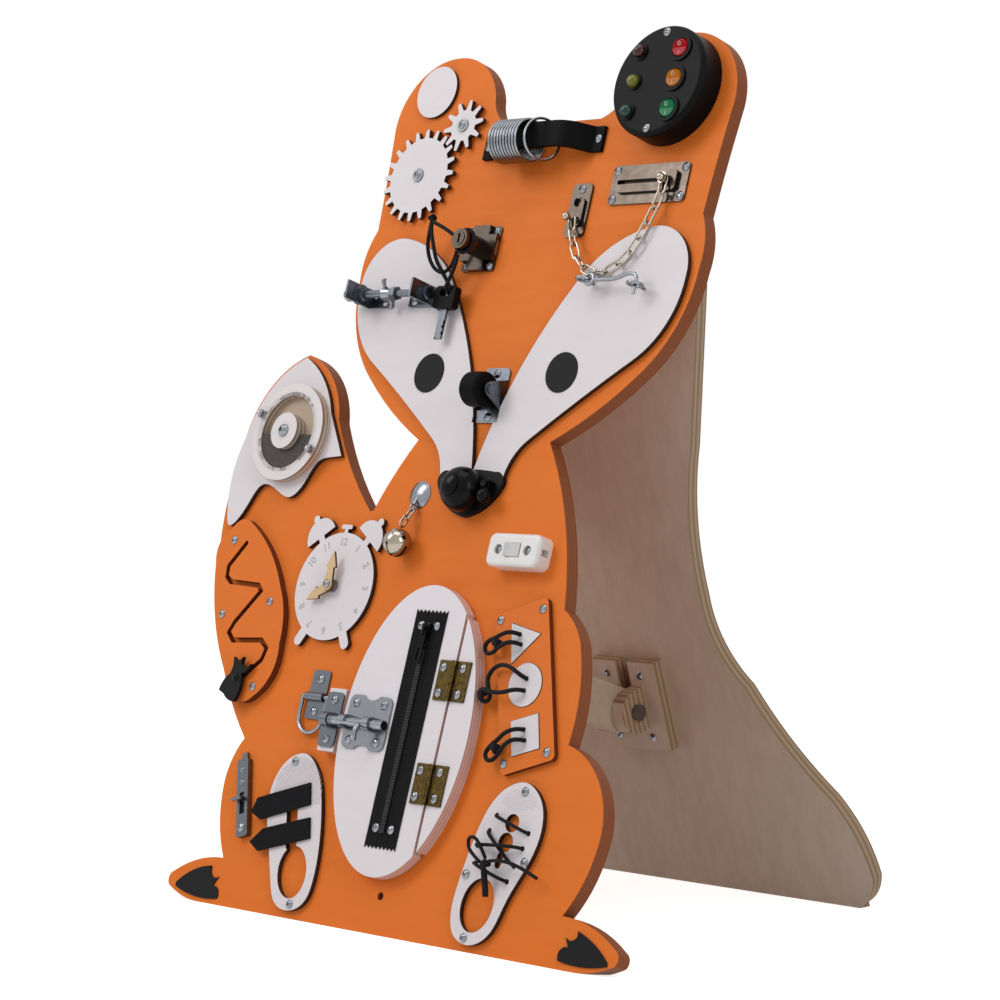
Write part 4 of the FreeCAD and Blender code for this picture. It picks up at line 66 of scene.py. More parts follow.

# %% [markdown]
# Every visible part that is made here ends as a mesh whose place is in its own
# points. It rides on one body of the model.

# %% Piece helpers


def link(name, data):
    """New object in the scene."""
    piece = bpy.data.objects.new(name, data)
    bpy.context.scene.collection.objects.link(piece)
    return piece


def new_piece(name, mesh, body):
    """Object that rides on a body."""
    piece = link(name, mesh)
    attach(piece, body)
    return piece


def final_mesh(holder):
    """Mesh of what a curve, a text or a modifier shows. The holder goes."""
    mesh = bpy.data.meshes.new_from_object(holder.evaluated_get(bpy.context.evaluated_depsgraph_get()))
    bpy.data.objects.remove(holder)
    return mesh


# %% [markdown]
# The camera comes first, because everything is judged through it. The photograph
# is taken from the right and low down with a long lens, so the board's upright
# edges stay nearly parallel.

# %% Camera
SENSOR, FOCAL_LENGTH = 36, 107.42
CAMERA_PLACE = (1.5789, -1.4657, 0.3963)
AZIMUTH, PITCH = math.radians(44.776), math.radians(2.165)
lens = bpy.data.cameras.new("studio_camera")
lens.sensor_width = SENSOR
lens.lens = FOCAL_LENGTH
camera = bpy.data.objects.new("studio_camera", lens)
camera.location = CAMERA_PLACE
camera.rotation_euler = (math.pi / 2 - PITCH, 0, AZIMUTH)
bpy.context.scene.collection.objects.link(camera)
bpy.context.scene.camera = camera
bpy.context.scene.view_settings.view_transform = "Standard"
print("lens", lens.lens, "mm")

# %% [markdown]
# The cords are limp braids about as thick as a shoe lace. Each is one smooth
# NURBS line that enters and leaves its hole, lies on the plywood and loops the way
# it was left. The points are the same ones that the solid model was drawn from.

# %% Cord helper
LOOP_THICK, KEY_THICK, LACE_THICK = 3.2, 3.0, 2.6
cord_pieces = []


def braid(name, route, diameter):
    """One smooth cord. Its radius is that of its points, because Blender's box counts it so."""
    line = bpy.data.curves.new(name, "CURVE")
    line.dimensions = "3D"
    line.bevel_depth = 1.0
    line.bevel_resolution = 5
    line.resolution_u = 10
    line.use_fill_caps = True
    spline = line.splines.new("NURBS")
    spline.points.add(len(route) - 1)
    for point, place in zip(spline.points, route):
        point.co = (*on_board(*place), 1)
        point.radius = diameter / 2000
    spline.order_u = 3
    spline.use_endpoint_u = True
    return link(name, line)


def lay_cord(name, route, diameter, body, node):
    """A braid on a body, standing for a CAD node that it hides."""
    piece = braid(name, route, diameter)
    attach(piece, body)
    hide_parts(node)
    cord_pieces.append(piece)


# %% [markdown]
# Three puzzle pieces are lifted by loops. Each loop rises from one hole in its
# piece, crosses the plate, lies on the orange board and comes back to the other.

# %% Puzzle loops
TRIANGLE_ROUTE = ((86.5, 228.6, 3.4), (86.5, 228.8, 8.2), (82, 228.4, 12.5), (74.5, 225.5, 12.5),
                  (67, 223.2, 9.5), (59.8, 222, 7.6), (56.4, 217.2, 7.4), (60, 211.8, 7.6),
                  (67, 212.6, 8.6), (74, 216.4, 11.6), (82, 220.4, 12.6), (88, 221.4, 11.2),
                  (89.5, 221.4, 7.2), (89.5, 221.4, 3.4))
CIRCLE_ROUTE = ((102.6, 197.0, 3.4), (102.4, 197.4, 8.2), (98, 200.4, 12.4), (89, 204, 12),
                (79, 204.6, 10), (70.5, 201.4, 8), (66.4, 194.6, 7.4), (69.6, 187.6, 7.6),
                (74, 181.2, 7.4), (70, 176.6, 7), (63, 178.4, 7), (62.6, 184.4, 8.6), (69.6, 185.8, 12.4),
                (79, 183.4, 12.8), (90, 184.2, 12.6), (98.4, 187, 12.2), (102.4, 188.2, 8),
                (102.6, 188.4, 3.4))
SQUARE_ROUTE = ((110.5, 160.6, 3.4), (110.3, 160.4, 8.2), (106, 158.4, 12.4), (99, 155.4, 12),
                (92, 150.4, 9.6), (84.4, 146, 8), (80, 139.6, 7.4), (84.4, 134.6, 7.4), (91, 136.8, 7.6),
                (95.8, 143.4, 8.4), (102, 148.2, 11.6), (109, 151.6, 12.4), (113.2, 152.8, 8.2),
                (113.5, 153.0, 3.4))
for shape_name, route, long in (("triangle", TRIANGLE_ROUTE, 0.0836), ("circle", CIRCLE_ROUTE, 0.1266),
                                ("square", SQUARE_ROUTE, 0.0902)):
    lay_cord(shape_name + "_lifting_loop", route, LOOP_THICK, shape_name, shape_name + "_cord")
print("loops", [piece.name for piece in cord_pieces])

# %% [markdown]
# The key hangs on a cord that is tied round the lock's barrel. One stretch runs
# down through the key's eye and back up to a knot, another forms a slack loop.

# %% Key cord
LOCK_U, LOCK_V = -46.5, 526.5
KEY_LINK = ((-86.5, 543.5, 20.6), (-77, 540, 21), (-67, 535.5, 21), (-57.8, 530.6, 20.6))
KEY_HANG = ((LOCK_U - 4.5, LOCK_V - 10.5, 20), (-52.5, 508, 18.8), (-56, 499.5, 17.6), (-59.4, 490.6, 17.6),
            (-60.8, 487.7, 12.6), (-61.8, 487.6, 7.2), (-64.4, 492, 5.9), (-69, 499, 8.4), (-73, 506.5, 13.6),
            (-78, 514, 17), (-84, 528, 18.5), (-88.5, 540, 20), (-88, 547, 20.6))
KEY_LOOP = ((-92, 545, 17), (-94.5, 534, 15), (-93, 521, 13), (-86, 509.5, 10.5), (-75, 504.5, 10),
            (-65.5, 508, 11.5), (-60, 517, 13.5), (LOCK_U - 11.5, LOCK_V + 0.5, 15))
for name, route, long, end in (("key_cord_link", KEY_LINK, 0.0315, "object"),
                               ("key_cord_hang", KEY_HANG, 0.1057, "knot"),
                               ("key_cord_loop", KEY_LOOP, 0.0802, "object")):
    lay_cord(name, route, KEY_THICK, "root", "key_cord")
print("loops and key cord", len(cord_pieces))

# %% [markdown]
# The right shoe is laced: four bars cross between pairs of holes, and a bow sits
# on them with one loop and a free end.

# %% Shoe lace
LACE_BARS = (((102, 98, 1.6), (102.4, 97.8, 7.2), (111, 95.4, 8.6), (127, 91, 8.6),
              (135.6, 88.6, 7.2), (136, 88.4, 1.6)),
             ((98, 86.6, 1.6), (98.3, 86.3, 7.0), (105, 81, 7.6), (122, 69.4, 7.2),
              (128.7, 64.7, 7.0), (129, 64.4, 1.6)),
             ((89.8, 75, 1.6), (90.2, 75, 7.4), (98, 75.2, 11.2), (124, 77, 11.6),
              (133, 77.4, 7.4), (133.4, 77.4, 1.6)),
             ((91.6, 62.6, 1.6), (92, 62.6, 7.4), (99, 60.8, 11.2), (117, 55.4, 11.2),
              (125, 53.2, 7.4), (125.4, 53, 1.6)))
LACE_END = ((112, 64.5, 12.6), (122, 66, 15.2), (135, 65.4, 14.2), (147, 62.2, 11), (157, 58.2, 8.4))
LACE_BOW = ((107, 66, 11), (103.5, 74, 14.8), (95.5, 80, 15), (88.4, 78.6, 13.4), (90.2, 71.6, 13.2),
            (97.4, 67.2, 14.4), (105, 63, 14.4))
LACE_PARTS = [("lace_bar_%d" % (count + 1), bar, long, "object")
              for count, (bar, long) in enumerate(zip(LACE_BARS, (0.0443, 0.0464, 0.055, 0.0465)))]
LACE_PARTS += [("lace_end", LACE_END, 0.0472, "bare"), ("lace_bow", LACE_BOW, 0.0488, "object")]
for name, route, long, end in LACE_PARTS:
    lay_cord(name, route, LACE_THICK, "root", "shoe_lace")
print("lace parts", len(LACE_PARTS))

# %% [markdown]
# Knots are where the same braid is pulled tight on itself. A small ball would look
# like a bead, so each knot is a trefoil path swept with the cord's own thickness.
# The collar round the lock's barrel and the lace's short hanging end are fixed
# parts of their knots, so they are plain meshes too.

# %% Knots
KNOT_POINTS = 18


def knot(name, middle, size, thick, node, turn=0.0, body="root"):
    """Trefoil of cord about a place on the board, standing for a CAD node."""
    line = bpy.data.curves.new(name, "CURVE")
    line.dimensions = "3D"
    line.bevel_depth = thick / 2000
    line.bevel_resolution = 4
    spline = line.splines.new("NURBS")
    spline.points.add(KNOT_POINTS - 1)
    for number, point in enumerate(spline.points):
        angle = 2 * math.pi * number / KNOT_POINTS
        u = math.sin(angle + turn) + 2 * math.sin(2 * angle + turn)
        v = math.cos(angle + turn) - 2 * math.cos(2 * angle + turn)
        h = -math.sin(3 * angle)
        reach = size / 3
        point.co = (*on_board(middle[0] + u * reach, middle[1] + v * reach, middle[2] + h * reach * 1.6), 1)
    spline.order_u = 3
    spline.use_cyclic_u = True
    piece = new_piece(name, final_mesh(link(name, line)), body)
    cord_pieces.append(piece)
    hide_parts(node)


def short_braid(name, route, diameter, node):
    """Stub of cord that belongs to a knot."""
    piece = new_piece(name, final_mesh(braid(name + "_line", route, diameter)), "root")
    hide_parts(node)
    cord_pieces.append(piece)


COLLAR_RADIUS, COLLAR_HEIGHT, COLLAR_THICK, COLLAR_STEPS = 9.7, 20.4, 2.6, 12
LACE_TAIL_THICK = 4.6
knot("key_cord_knot", (-90, 547, 19), 2.9, 2.4, "key_cord")
turns = [(LOCK_U + COLLAR_RADIUS * math.cos(2 * math.pi * step / COLLAR_STEPS),
          LOCK_V + COLLAR_RADIUS * math.sin(2 * math.pi * step / COLLAR_STEPS), COLLAR_HEIGHT)
         for step in range(COLLAR_STEPS + 1)]
short_braid("key_cord_collar", turns, COLLAR_THICK, "key_cord")
short_braid("lace_tail", ((109.4, 58.5, 12.8), (110.4, 52.5, 11.6), (111.5, 46, 9.6), (112, 40, 8.2)),
            LACE_TAIL_THICK, "shoe_lace")
knot("lace_knot", (109.4, 62.0, 13.4), 3.4, LACE_THICK, "shoe_lace", 0.6)
for shape_name, middle in (("triangle", (71, 219.5, 10.4)), ("circle", (67.5, 182.6, 10.4)),
                           ("square", (91, 144.5, 9.6))):
    knot(shape_name + "_loop_knot", middle, 3.0, LOOP_THICK, shape_name + "_cord", 0.4, shape_name)
print("cord pieces with knots", len(cord_pieces))

# %% [markdown]
# The white sweep stands for a photographer's table. The light is soft and comes
# from both sides, with the key light on the left of the camera as in the photograph.

# %% Floor and light
FLOOR_GLOW, ROOM_LIGHT, ROOM_SEEN = 0.74, 0.34, 1.0
LIGHT_AIM = Vector((0, 0.1, 0.33))
WHITE = (1, 1, 1, 1)


def tone(code):
    """Colour written as sRGB hex, turned to linear for a socket."""
    parts = [int(code[place:place + 2], 16) / 255 for place in (1, 3, 5)]
    return (*[part / 12.92 if part <= 0.04045 else ((part + 0.055) / 1.055) ** 2.4 for part in parts], 1)


def add(tree, kind, links=None, **settings):
    """Adds one node; settings are properties, links are sockets with a value or an output."""
    made = tree.nodes.new(kind)
    for name, value in settings.items():
        setattr(made, name, value)
    for name, value in (links or {}).items():
        socket = made.inputs[name]
        if isinstance(value, bpy.types.NodeSocket):
            tree.links.new(value, socket)
        else:
            socket.default_value = value
    return made


def seen_ray(tree):
    """One for a ray that the camera, a mirror or a glass sends, so that all three see the white room."""
    rays = add(tree, "ShaderNodeLightPath")
    bent = add(tree, "ShaderNodeMath", {0: rays.outputs["Is Glossy Ray"],
                                        1: rays.outputs["Is Transmission Ray"]}, operation="MAXIMUM")
    return add(tree, "ShaderNodeMath", {0: rays.outputs["Is Camera Ray"], 1: bent.outputs[0]},
               operation="MAXIMUM")


floor_mesh = bpy.data.meshes.new("studio_floor")
floor_mesh.from_pydata([(-30, -30, 0), (30, -30, 0), (30, 30, 0), (-30, 30, 0)], [], [(0, 1, 2, 3)])
floor = link("studio_floor", floor_mesh)
paper = bpy.data.materials.new("seamless white paper")
paper.use_nodes = True
tree = paper.node_tree
tree.nodes.clear()
seen = seen_ray(tree)
sheet = add(tree, "ShaderNodeBsdfDiffuse", {"Color": tone("#F4F3F2")})
glow = add(tree, "ShaderNodeEmission", {"Color": WHITE, "Strength": FLOOR_GLOW})
both = add(tree, "ShaderNodeAddShader", {0: sheet.outputs[0], 1: glow.outputs[0]})
blend = add(tree, "ShaderNodeMixShader", {0: seen.outputs[0], 1: sheet.outputs[0],
                                          2: both.outputs[0]})
add(tree, "ShaderNodeOutputMaterial", {"Surface": blend.outputs[0]})
floor_mesh.materials.append(paper)

world = bpy.data.worlds.new("studio")
bpy.context.scene.world = world
world.use_nodes = True
tree = world.node_tree
tree.nodes.clear()
seen = seen_ray(tree)
soft = add(tree, "ShaderNodeBackground", {"Color": WHITE, "Strength": ROOM_LIGHT})
white = add(tree, "ShaderNodeBackground", {"Color": WHITE, "Strength": ROOM_SEEN})
blend = add(tree, "ShaderNodeMixShader", {0: seen.outputs[0], 1: soft.outputs[0],
                                          2: white.outputs[0]})
add(tree, "ShaderNodeOutputWorld", {"Surface": blend.outputs[0]})


def softbox(name, place, size, power):
    """Area light that faces the middle of the board."""
    light = bpy.data.lights.new(name, "AREA")
    light.shape = "RECTANGLE"
    light.size, light.size_y = size
    light.energy = power
    lamp = link(name, light)
    lamp.location = place
    lamp.rotation_euler = (LIGHT_AIM - Vector(place)).to_track_quat("-Z", "Y").to_euler()


softbox("left_softbox", (-1.4, -1.7, 2.3), (1.2, 1.6), 33)
softbox("right_softbox", (2.3, -0.5, 1.4), (0.8, 1.4), 11)
softbox("top_softbox", (0.1, -0.2, 2.3), (1.4, 1.0), 8)
print("stage", floor.name)

# %% [markdown]
# A material begins with what the thing is made of. Most finishes here are a base
# colour with a slow, faint variation, a roughness, and a fine bump; one function
# makes that, and each finish states its own numbers at its real scale.

# %% Finish helper


def finish(name, colour, other=None, roughness=0.5, metallic=0.0, grain=(8.0, 8.0, 8.0), bump=0.0,
           bump_grain=None, rough_spread=0.0, amount=0.5, **sockets):
    """A shader whose colour drifts between two tones. Grain is the size of a patch in mm along x, y, z."""
    material = bpy.data.materials.new(name)
    material.use_nodes = True
    tree = material.node_tree
    shader = tree.nodes["Principled BSDF"]
    place = add(tree, "ShaderNodeTexCoord")
    scaled = add(tree, "ShaderNodeMapping", {"Vector": place.outputs["Object"],
                                             "Scale": tuple(1000 / size for size in grain)})
    drift = add(tree, "ShaderNodeTexNoise", {"Vector": scaled.outputs[0], "Scale": 1.0, "Detail": 4.0,
                                             "Roughness": 0.6})
    spread = add(tree, "ShaderNodeMapRange", {"Value": drift.outputs["Fac"], "From Min": 0.3,
                                              "From Max": 0.7})
    if other:
        strength = add(tree, "ShaderNodeMath", {0: spread.outputs[0], 1: amount}, operation="MULTIPLY")
        mixed = add(tree, "ShaderNodeMix", {"Factor": strength.outputs[0], "A": tone(colour),
                                            "B": tone(other)}, data_type="RGBA")
        tree.links.new(mixed.outputs["Result"], shader.inputs["Base Color"])
    else:
        shader.inputs["Base Color"].default_value = tone(colour)
    shader.inputs["Metallic"].default_value = metallic
    if rough_spread:
        rough = add(tree, "ShaderNodeMapRange", {"Value": drift.outputs["Fac"], "From Min": 0.3,
                                                 "From Max": 0.7, "To Min": roughness - rough_spread,
                                                 "To Max": roughness + rough_spread})
        tree.links.new(rough.outputs[0], shader.inputs["Roughness"])
    else:
        shader.inputs["Roughness"].default_value = roughness
    if bump:
        fine = add(tree, "ShaderNodeMapping", {"Vector": place.outputs["Object"],
                                               "Scale": tuple(1000 / size for size in bump_grain or grain)})
        relief = add(tree, "ShaderNodeTexNoise", {"Vector": fine.outputs[0], "Scale": 1.0, "Detail": 3.0})
        raised = add(tree, "ShaderNodeBump", {"Height": relief.outputs["Fac"], "Strength": bump,
                                              "Distance": 0.0002})
        tree.links.new(raised.outputs[0], shader.inputs["Normal"])
    for socket, value in sockets.items():
        shader.inputs[socket.replace("_", " ")].default_value = value
    return material


def colour_input(material):
    """The Mix node that sets the colour, for finishes that add a second layer."""
    return material.node_tree.nodes["Principled BSDF"].inputs["Base Color"].links[0].from_socket


FACING = 0.7


def only_on_edges(material, edge_colour, axis, edge_other=None, band=1.3):
    """Two colours in bands of plies, band in mm, on every surface that doesn't face along the axis."""
    tree = material.node_tree
    shader = tree.nodes["Principled BSDF"]
    place = add(tree, "ShaderNodeTexCoord")
    facing = add(tree, "ShaderNodeVectorMath", {0: place.outputs["Normal"], 1: tuple(axis)},
                 operation="DOT_PRODUCT")
    size = add(tree, "ShaderNodeMath", {0: facing.outputs["Value"]}, operation="ABSOLUTE")
    edge = add(tree, "ShaderNodeMath", {0: size.outputs[0], 1: FACING}, operation="LESS_THAN")
    depth = add(tree, "ShaderNodeVectorMath", {0: place.outputs["Object"], 1: tuple(axis)},
                operation="DOT_PRODUCT")
    layer = add(tree, "ShaderNodeMath", {0: depth.outputs["Value"], 1: 1000 * math.pi / band},
                operation="MULTIPLY")
    wave = add(tree, "ShaderNodeMath", {0: layer.outputs[0]}, operation="SINE")
    veneer = add(tree, "ShaderNodeMapRange", {"Value": wave.outputs[0], "From Min": -0.35, "From Max": 0.35})
    wood = add(tree, "ShaderNodeMix", {"Factor": veneer.outputs[0], "A": tone(edge_colour),
                                       "B": tone(edge_other or edge_colour)}, data_type="RGBA")
    both = add(tree, "ShaderNodeMix", {"Factor": edge.outputs[0], "A": colour_input(material),
                                       "B": wood.outputs["Result"]}, data_type="RGBA")
    tree.links.new(both.outputs["Result"], shader.inputs["Base Color"])


def dress(material, *names):
    """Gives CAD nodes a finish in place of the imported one."""
    for name in names:
        mesh = nodes[name].data
        if not mesh.materials:
            mesh.materials.append(None)
        for place in range(len(mesh.materials)):
            mesh.materials[place] = material
    print(material.name, "->", ", ".join(names))


# %% [markdown]
# Acrylic paint rolled on birch plywood leaves a soft orange-peel and lets a little
# of the grain through. The sawn edges carry the same paint; their darker, browner
# tone in bands along the plies is painted shade for the sides turned from the light.

# %% Painted plywood
orange_paint = finish("acrylic paint on birch ply", "#E97929", "#E07226", roughness=0.55, grain=(60, 60, 9),
                      bump=0.1, bump_grain=(1.2, 1.2, 1.2), rough_spread=0.05, Specular_IOR_Level=0.18)
# The edge tones are painted shade: the board's own orange, darkened for the sides that turn from the light.
only_on_edges(orange_paint, "#96532F", OUT_OF_BOARD, edge_other="#814727")
white_paint = finish("satin white lacquer on thin ply", "#E6DFE2", "#DFD8DC", roughness=0.42,
                     grain=(40, 40, 8), bump=0.08, bump_grain=(0.9, 0.9, 0.9), Specular_IOR_Level=0.25)
only_on_edges(white_paint, "#241A15", OUT_OF_BOARD, edge_other="#3E2C22")
black_paint = finish("matte black lacquer on thin ply", "#111113", "#0C0C0D", roughness=0.5,
                     grain=(20, 20, 6), bump=0.1, bump_grain=(0.8, 0.8, 0.8), Specular_IOR_Level=0.12)
orange_plate_paint = finish("acrylic paint on thin ply", "#E77728", "#DE7026", roughness=0.5,
                            grain=(30, 30, 9), bump=0.1, bump_grain=(1.0, 1.0, 1.0), Specular_IOR_Level=0.2)
only_on_edges(orange_plate_paint, "#5A2A14", OUT_OF_BOARD, edge_other="#6C351B")
dress(orange_paint, "front_board")
dress(white_paint, "gear_large", "gear_small", "white_overlays", "clock_face", "puzzle_triangle",
      "puzzle_circle", "puzzle_square")
dress(black_paint, "black_overlays", "cat_slider")
dress(orange_plate_paint, "orange_plates")

# %% [markdown]
# The door is thick white-painted ply whose edge shows pink-beige laminate. The
# tail wheel is laminated hardboard: white on its face and brown at the side, and
# the floor of its chamber is bare ply.

# %% Door and wheel finish
BOARD_FACE = SOLE_MIDDLE * math.cos(LEAN)
FLOOR_TOP = 6.20
door_paint = finish("white lacquer on laminated ply", "#E8E2E6", "#E1DADF", roughness=0.4,
                    grain=(50, 50, 12), bump=0.06, bump_grain=(0.9, 0.9, 0.9))
only_on_edges(door_paint, "#C9ABA2", OUT_OF_BOARD, edge_other="#D9C3BC", band=1.6)
wheel_paint = finish("white face on brown laminate", "#E4DDDD", "#DCD4D4", roughness=0.42,
                     grain=(30, 30, 8), bump=0.06)
only_on_edges(wheel_paint, "#8F7A69", OUT_OF_BOARD, edge_other="#C9B8AA", band=2.2)


def beige_floor(material, top, colour):
    """Colours what lies lower than top on the board: the bare ply that the grains run over."""
    tree = material.node_tree
    shader = tree.nodes["Principled BSDF"]
    place = add(tree, "ShaderNodeTexCoord")
    height = add(tree, "ShaderNodeVectorMath", {0: place.outputs["Object"], 1: tuple(OUT_OF_BOARD)},
                 operation="DOT_PRODUCT")
    low = add(tree, "ShaderNodeMath", {0: height.outputs["Value"], 1: (top + BOARD_FACE) / 1000},
              operation="LESS_THAN")
    both = add(tree, "ShaderNodeMix", {"Factor": low.outputs[0], "A": colour_input(material),
                                       "B": tone(colour)}, data_type="RGBA")
    tree.links.new(both.outputs["Result"], shader.inputs["Base Color"])


beige_floor(wheel_paint, FLOOR_TOP, "#CDB79F")
hand_wood = finish("laser-cut poplar ply", "#D9B98C", "#C9A576", roughness=0.55, grain=(1.2, 14, 14),
                   bump=0.15)
only_on_edges(hand_wood, "#4A3423", OUT_OF_BOARD)
dress(door_paint, "door", "door_segment")
dress(wheel_paint, "tail_wheel")
dress(hand_wood, "hour_hand", "minute_hand")

# %% [markdown]
# The rear panel, strut and brace are bare birch: pale, with long faint grain that
# runs up the panel and thin glue lines along its edges.

# %% Bare birch
REAR_AXIS = Vector((0, -math.cos(LEAN), -math.sin(LEAN)))
birch = finish("sanded birch plywood", "#D3C8B8", "#C3B6A6", roughness=0.6, grain=(9, 9, 130), amount=0.7,
               bump=0.12, bump_grain=(0.7, 0.7, 9), Specular_IOR_Level=0.25)
only_on_edges(birch, "#B59C80", REAR_AXIS, edge_other="#957B60", band=2.6)
block_birch = finish("planed birch block", "#C6B39D", "#B7A28B", roughness=0.58, grain=(60, 5, 5),
                     amount=0.8, bump=0.15, bump_grain=(8, 0.8, 0.8))
dress(birch, "rear_panel", "leg_bracket")
dress(block_birch, "strut", "back_blocks")

# %% [markdown]
# Zinc-plated steel is a bright, slightly cloudy metal; galvanised steel is bluer
# and duller; the lock case is satin nickel, darker than chrome. All are metals, so
# their colour is in the reflection and the roughness does the rest.

# %% Metals
zinc = finish("zinc-plated steel", "#8E9196", "#6F7278", roughness=0.22, metallic=1.0, grain=(5, 5, 5),
              rough_spread=0.07, bump=0.03, bump_grain=(0.6, 0.6, 0.6))
galvanised = finish("galvanised steel", "#6D7279", "#565B63", roughness=0.3, metallic=1.0,
                    grain=(4, 4, 4), rough_spread=0.09, bump=0.05, bump_grain=(0.8, 0.8, 0.8))
nickel = finish("satin nickel plate", "#554C45", "#403832", roughness=0.22, metallic=1.0,
                grain=(9, 9, 9), rough_spread=0.05, bump=0.02)
chrome = finish("polished chrome plate", "#A89F92", "#8E867A", roughness=0.1, metallic=1.0,
                grain=(9, 9, 9), rough_spread=0.03)
old_brass = finish("antique brass plate", "#66532A", "#2E2613", roughness=0.32, metallic=1.0,
                   grain=(3, 3, 3), rough_spread=0.08, amount=0.9, bump=0.06, bump_grain=(0.6, 0.6, 0.6))
dress(zinc, "screws", "screw_eyes", "hook", "handle_rings", "wing_nut", "lock_bolt", "door_hardware",
      "barrel_rod", "d_ring", "leg_hardware")
dress(galvanised, "steel_brackets", "flush_slide")
dress(nickel, "nickel_plates", "lock_core")
dress(chrome, "door_chain", "jingle_bell")
dress(old_brass, "door_hinge_fixed", "door_hinge_moving")

# %% [markdown]
# The plastics differ mostly in gloss: the lamp housing is moulded with a fine
# satin spark texture, the handlebar bell is enamelled and mirrors the room, and
# the inline switch is plain white ABS.

# %% Plastics and rubber
housing_plastic = finish("moulded black ABS", "#0D0D0E", "#0A0A0B", roughness=0.4, grain=(4, 4, 4),
                         bump=0.12, bump_grain=(0.45, 0.45, 0.45), Specular_IOR_Level=0.07)
gloss_enamel = finish("black stove enamel", "#0D0D0F", "#09090A", roughness=0.16, grain=(12, 12, 12),
                      rough_spread=0.03, Specular_IOR_Level=0.09)
matte_rubber = finish("black rubber", "#0B0B0C", "#080809", roughness=0.5, grain=(3, 3, 3), bump=0.2,
                      bump_grain=(0.5, 0.5, 0.5), Specular_IOR_Level=0.05)
white_abs = finish("white ABS", "#ECEAE8", "#E4E1DF", roughness=0.3, grain=(9, 9, 9), bump=0.03)
grey_abs = finish("light grey ABS", "#CFCDCB", "#C4C2C0", roughness=0.35, grain=(6, 6, 6), bump=0.04)
for colour_name, light_tone, dark_tone in (("red", "#B00A10", "#7A0609"), ("amber", "#C06E06", "#8A4A08"),
                                           ("green", "#067A45", "#045030")):
    dress(finish(colour_name + " polycarbonate", light_tone, dark_tone, roughness=0.22, grain=(4, 4, 4),
                 Specular_IOR_Level=0.12), "rocker_" + colour_name)
acrylic = finish("clear acrylic sheet", "#6C6254", "#5F564A", roughness=0.05, grain=(20, 20, 20), IOR=1.49,
                 Alpha=0.05)
dress(housing_plastic, "light_housing", "battery_pack", "key", "zip_slider")
dress(gloss_enamel, "bell_body", "bell_lever")
dress(matte_rubber, "handle_strap", "caster_wheel")
dress(white_abs, "switch_body")
dress(grey_abs, "switch_rocker")
dress(acrylic, "tail_window")

# %% [markdown]
# Textiles show their construction: two thread directions cross in the zipper's tape
# and in the webbing of the shoe's straps. A cord's braid is a field of small raised
# strands, which looks the same round every bend.

# %% Textiles


def woven(name, colour, other, thread, roughness=0.85):
    """Two crossing thread directions on the board's own axes, thread in mm."""
    material = finish(name, colour, other, roughness=roughness, grain=(2, 2, 2), Specular_IOR_Level=0.08,
                      Sheen_Weight=0.04)
    tree = material.node_tree
    place = add(tree, "ShaderNodeTexCoord")
    heights = []
    for direction in ((1, 0, 0.6), (-0.6, 0, 1)):
        scaled = add(tree, "ShaderNodeVectorMath", {0: place.outputs["Object"],
                                                    1: tuple(part * 1000 * math.pi / thread
                                                             for part in direction)},
                     operation="DOT_PRODUCT")
        heights.append(add(tree, "ShaderNodeMath", {0: scaled.outputs["Value"]}, operation="SINE"))
    cloth = add(tree, "ShaderNodeMath", {0: heights[0].outputs[0], 1: heights[1].outputs[0]},
                operation="MAXIMUM")
    raised = add(tree, "ShaderNodeBump", {"Height": cloth.outputs[0], "Strength": 0.6, "Distance": 0.0002})
    tree.links.new(raised.outputs[0], tree.nodes["Principled BSDF"].inputs["Normal"])
    return material


def raised_cells(material, size, strength, rise):
    """Rounded bumps, size in mm, each highest in its middle."""
    tree = material.node_tree
    place = add(tree, "ShaderNodeTexCoord")
    cells = add(tree, "ShaderNodeTexVoronoi", {"Vector": place.outputs["Object"], "Scale": 1000 / size})
    raised = add(tree, "ShaderNodeBump", {"Height": cells.outputs["Distance"], "Strength": strength,
                                          "Distance": rise}, invert=True)
    tree.links.new(raised.outputs[0], tree.nodes["Principled BSDF"].inputs["Normal"])


black_braid = finish("braided polyester cord", "#141416", "#1E1E21", roughness=0.75, grain=(1.5, 1.5, 1.5),
                     Specular_IOR_Level=0.12, Sheen_Weight=0.03)
raised_cells(black_braid, 0.9, 0.7, 0.0003)
tape_cloth = woven("woven zipper tape", "#161618", "#101012", 0.9)
webbing = woven("hook-and-loop webbing", "#151517", "#1D1D20", 1.3, 0.95)
dress(black_braid, "key_cord", "shoe_lace", "triangle_cord", "circle_cord", "square_cord")
for piece in cord_pieces:
    piece.data.materials.append(black_braid)
print("cord pieces", len(cord_pieces))

# %% [markdown]
# The grains behind the acrylic are coffee-dark seeds about a millimetre wide. A
# Voronoi cell of that size, raised in the middle, reads as a heap of them without
# thousands of separate beads.

# %% Grains
grains = finish("dark seeds", "#33261E", "#0F0A08", roughness=0.55, grain=(1.4, 1.4, 1.4), amount=1.0)
raised_cells(grains, 1.5, 1.0, 0.0006)
dress(grains, "tail_grains")

# %% [markdown]
# The clock's numerals are engraved by laser as thin grey outlines. Text objects
# with no fill and a hair-thin bevel give exactly that line; each is turned to a
# mesh before it is placed, because an object's place has to be in its mesh.

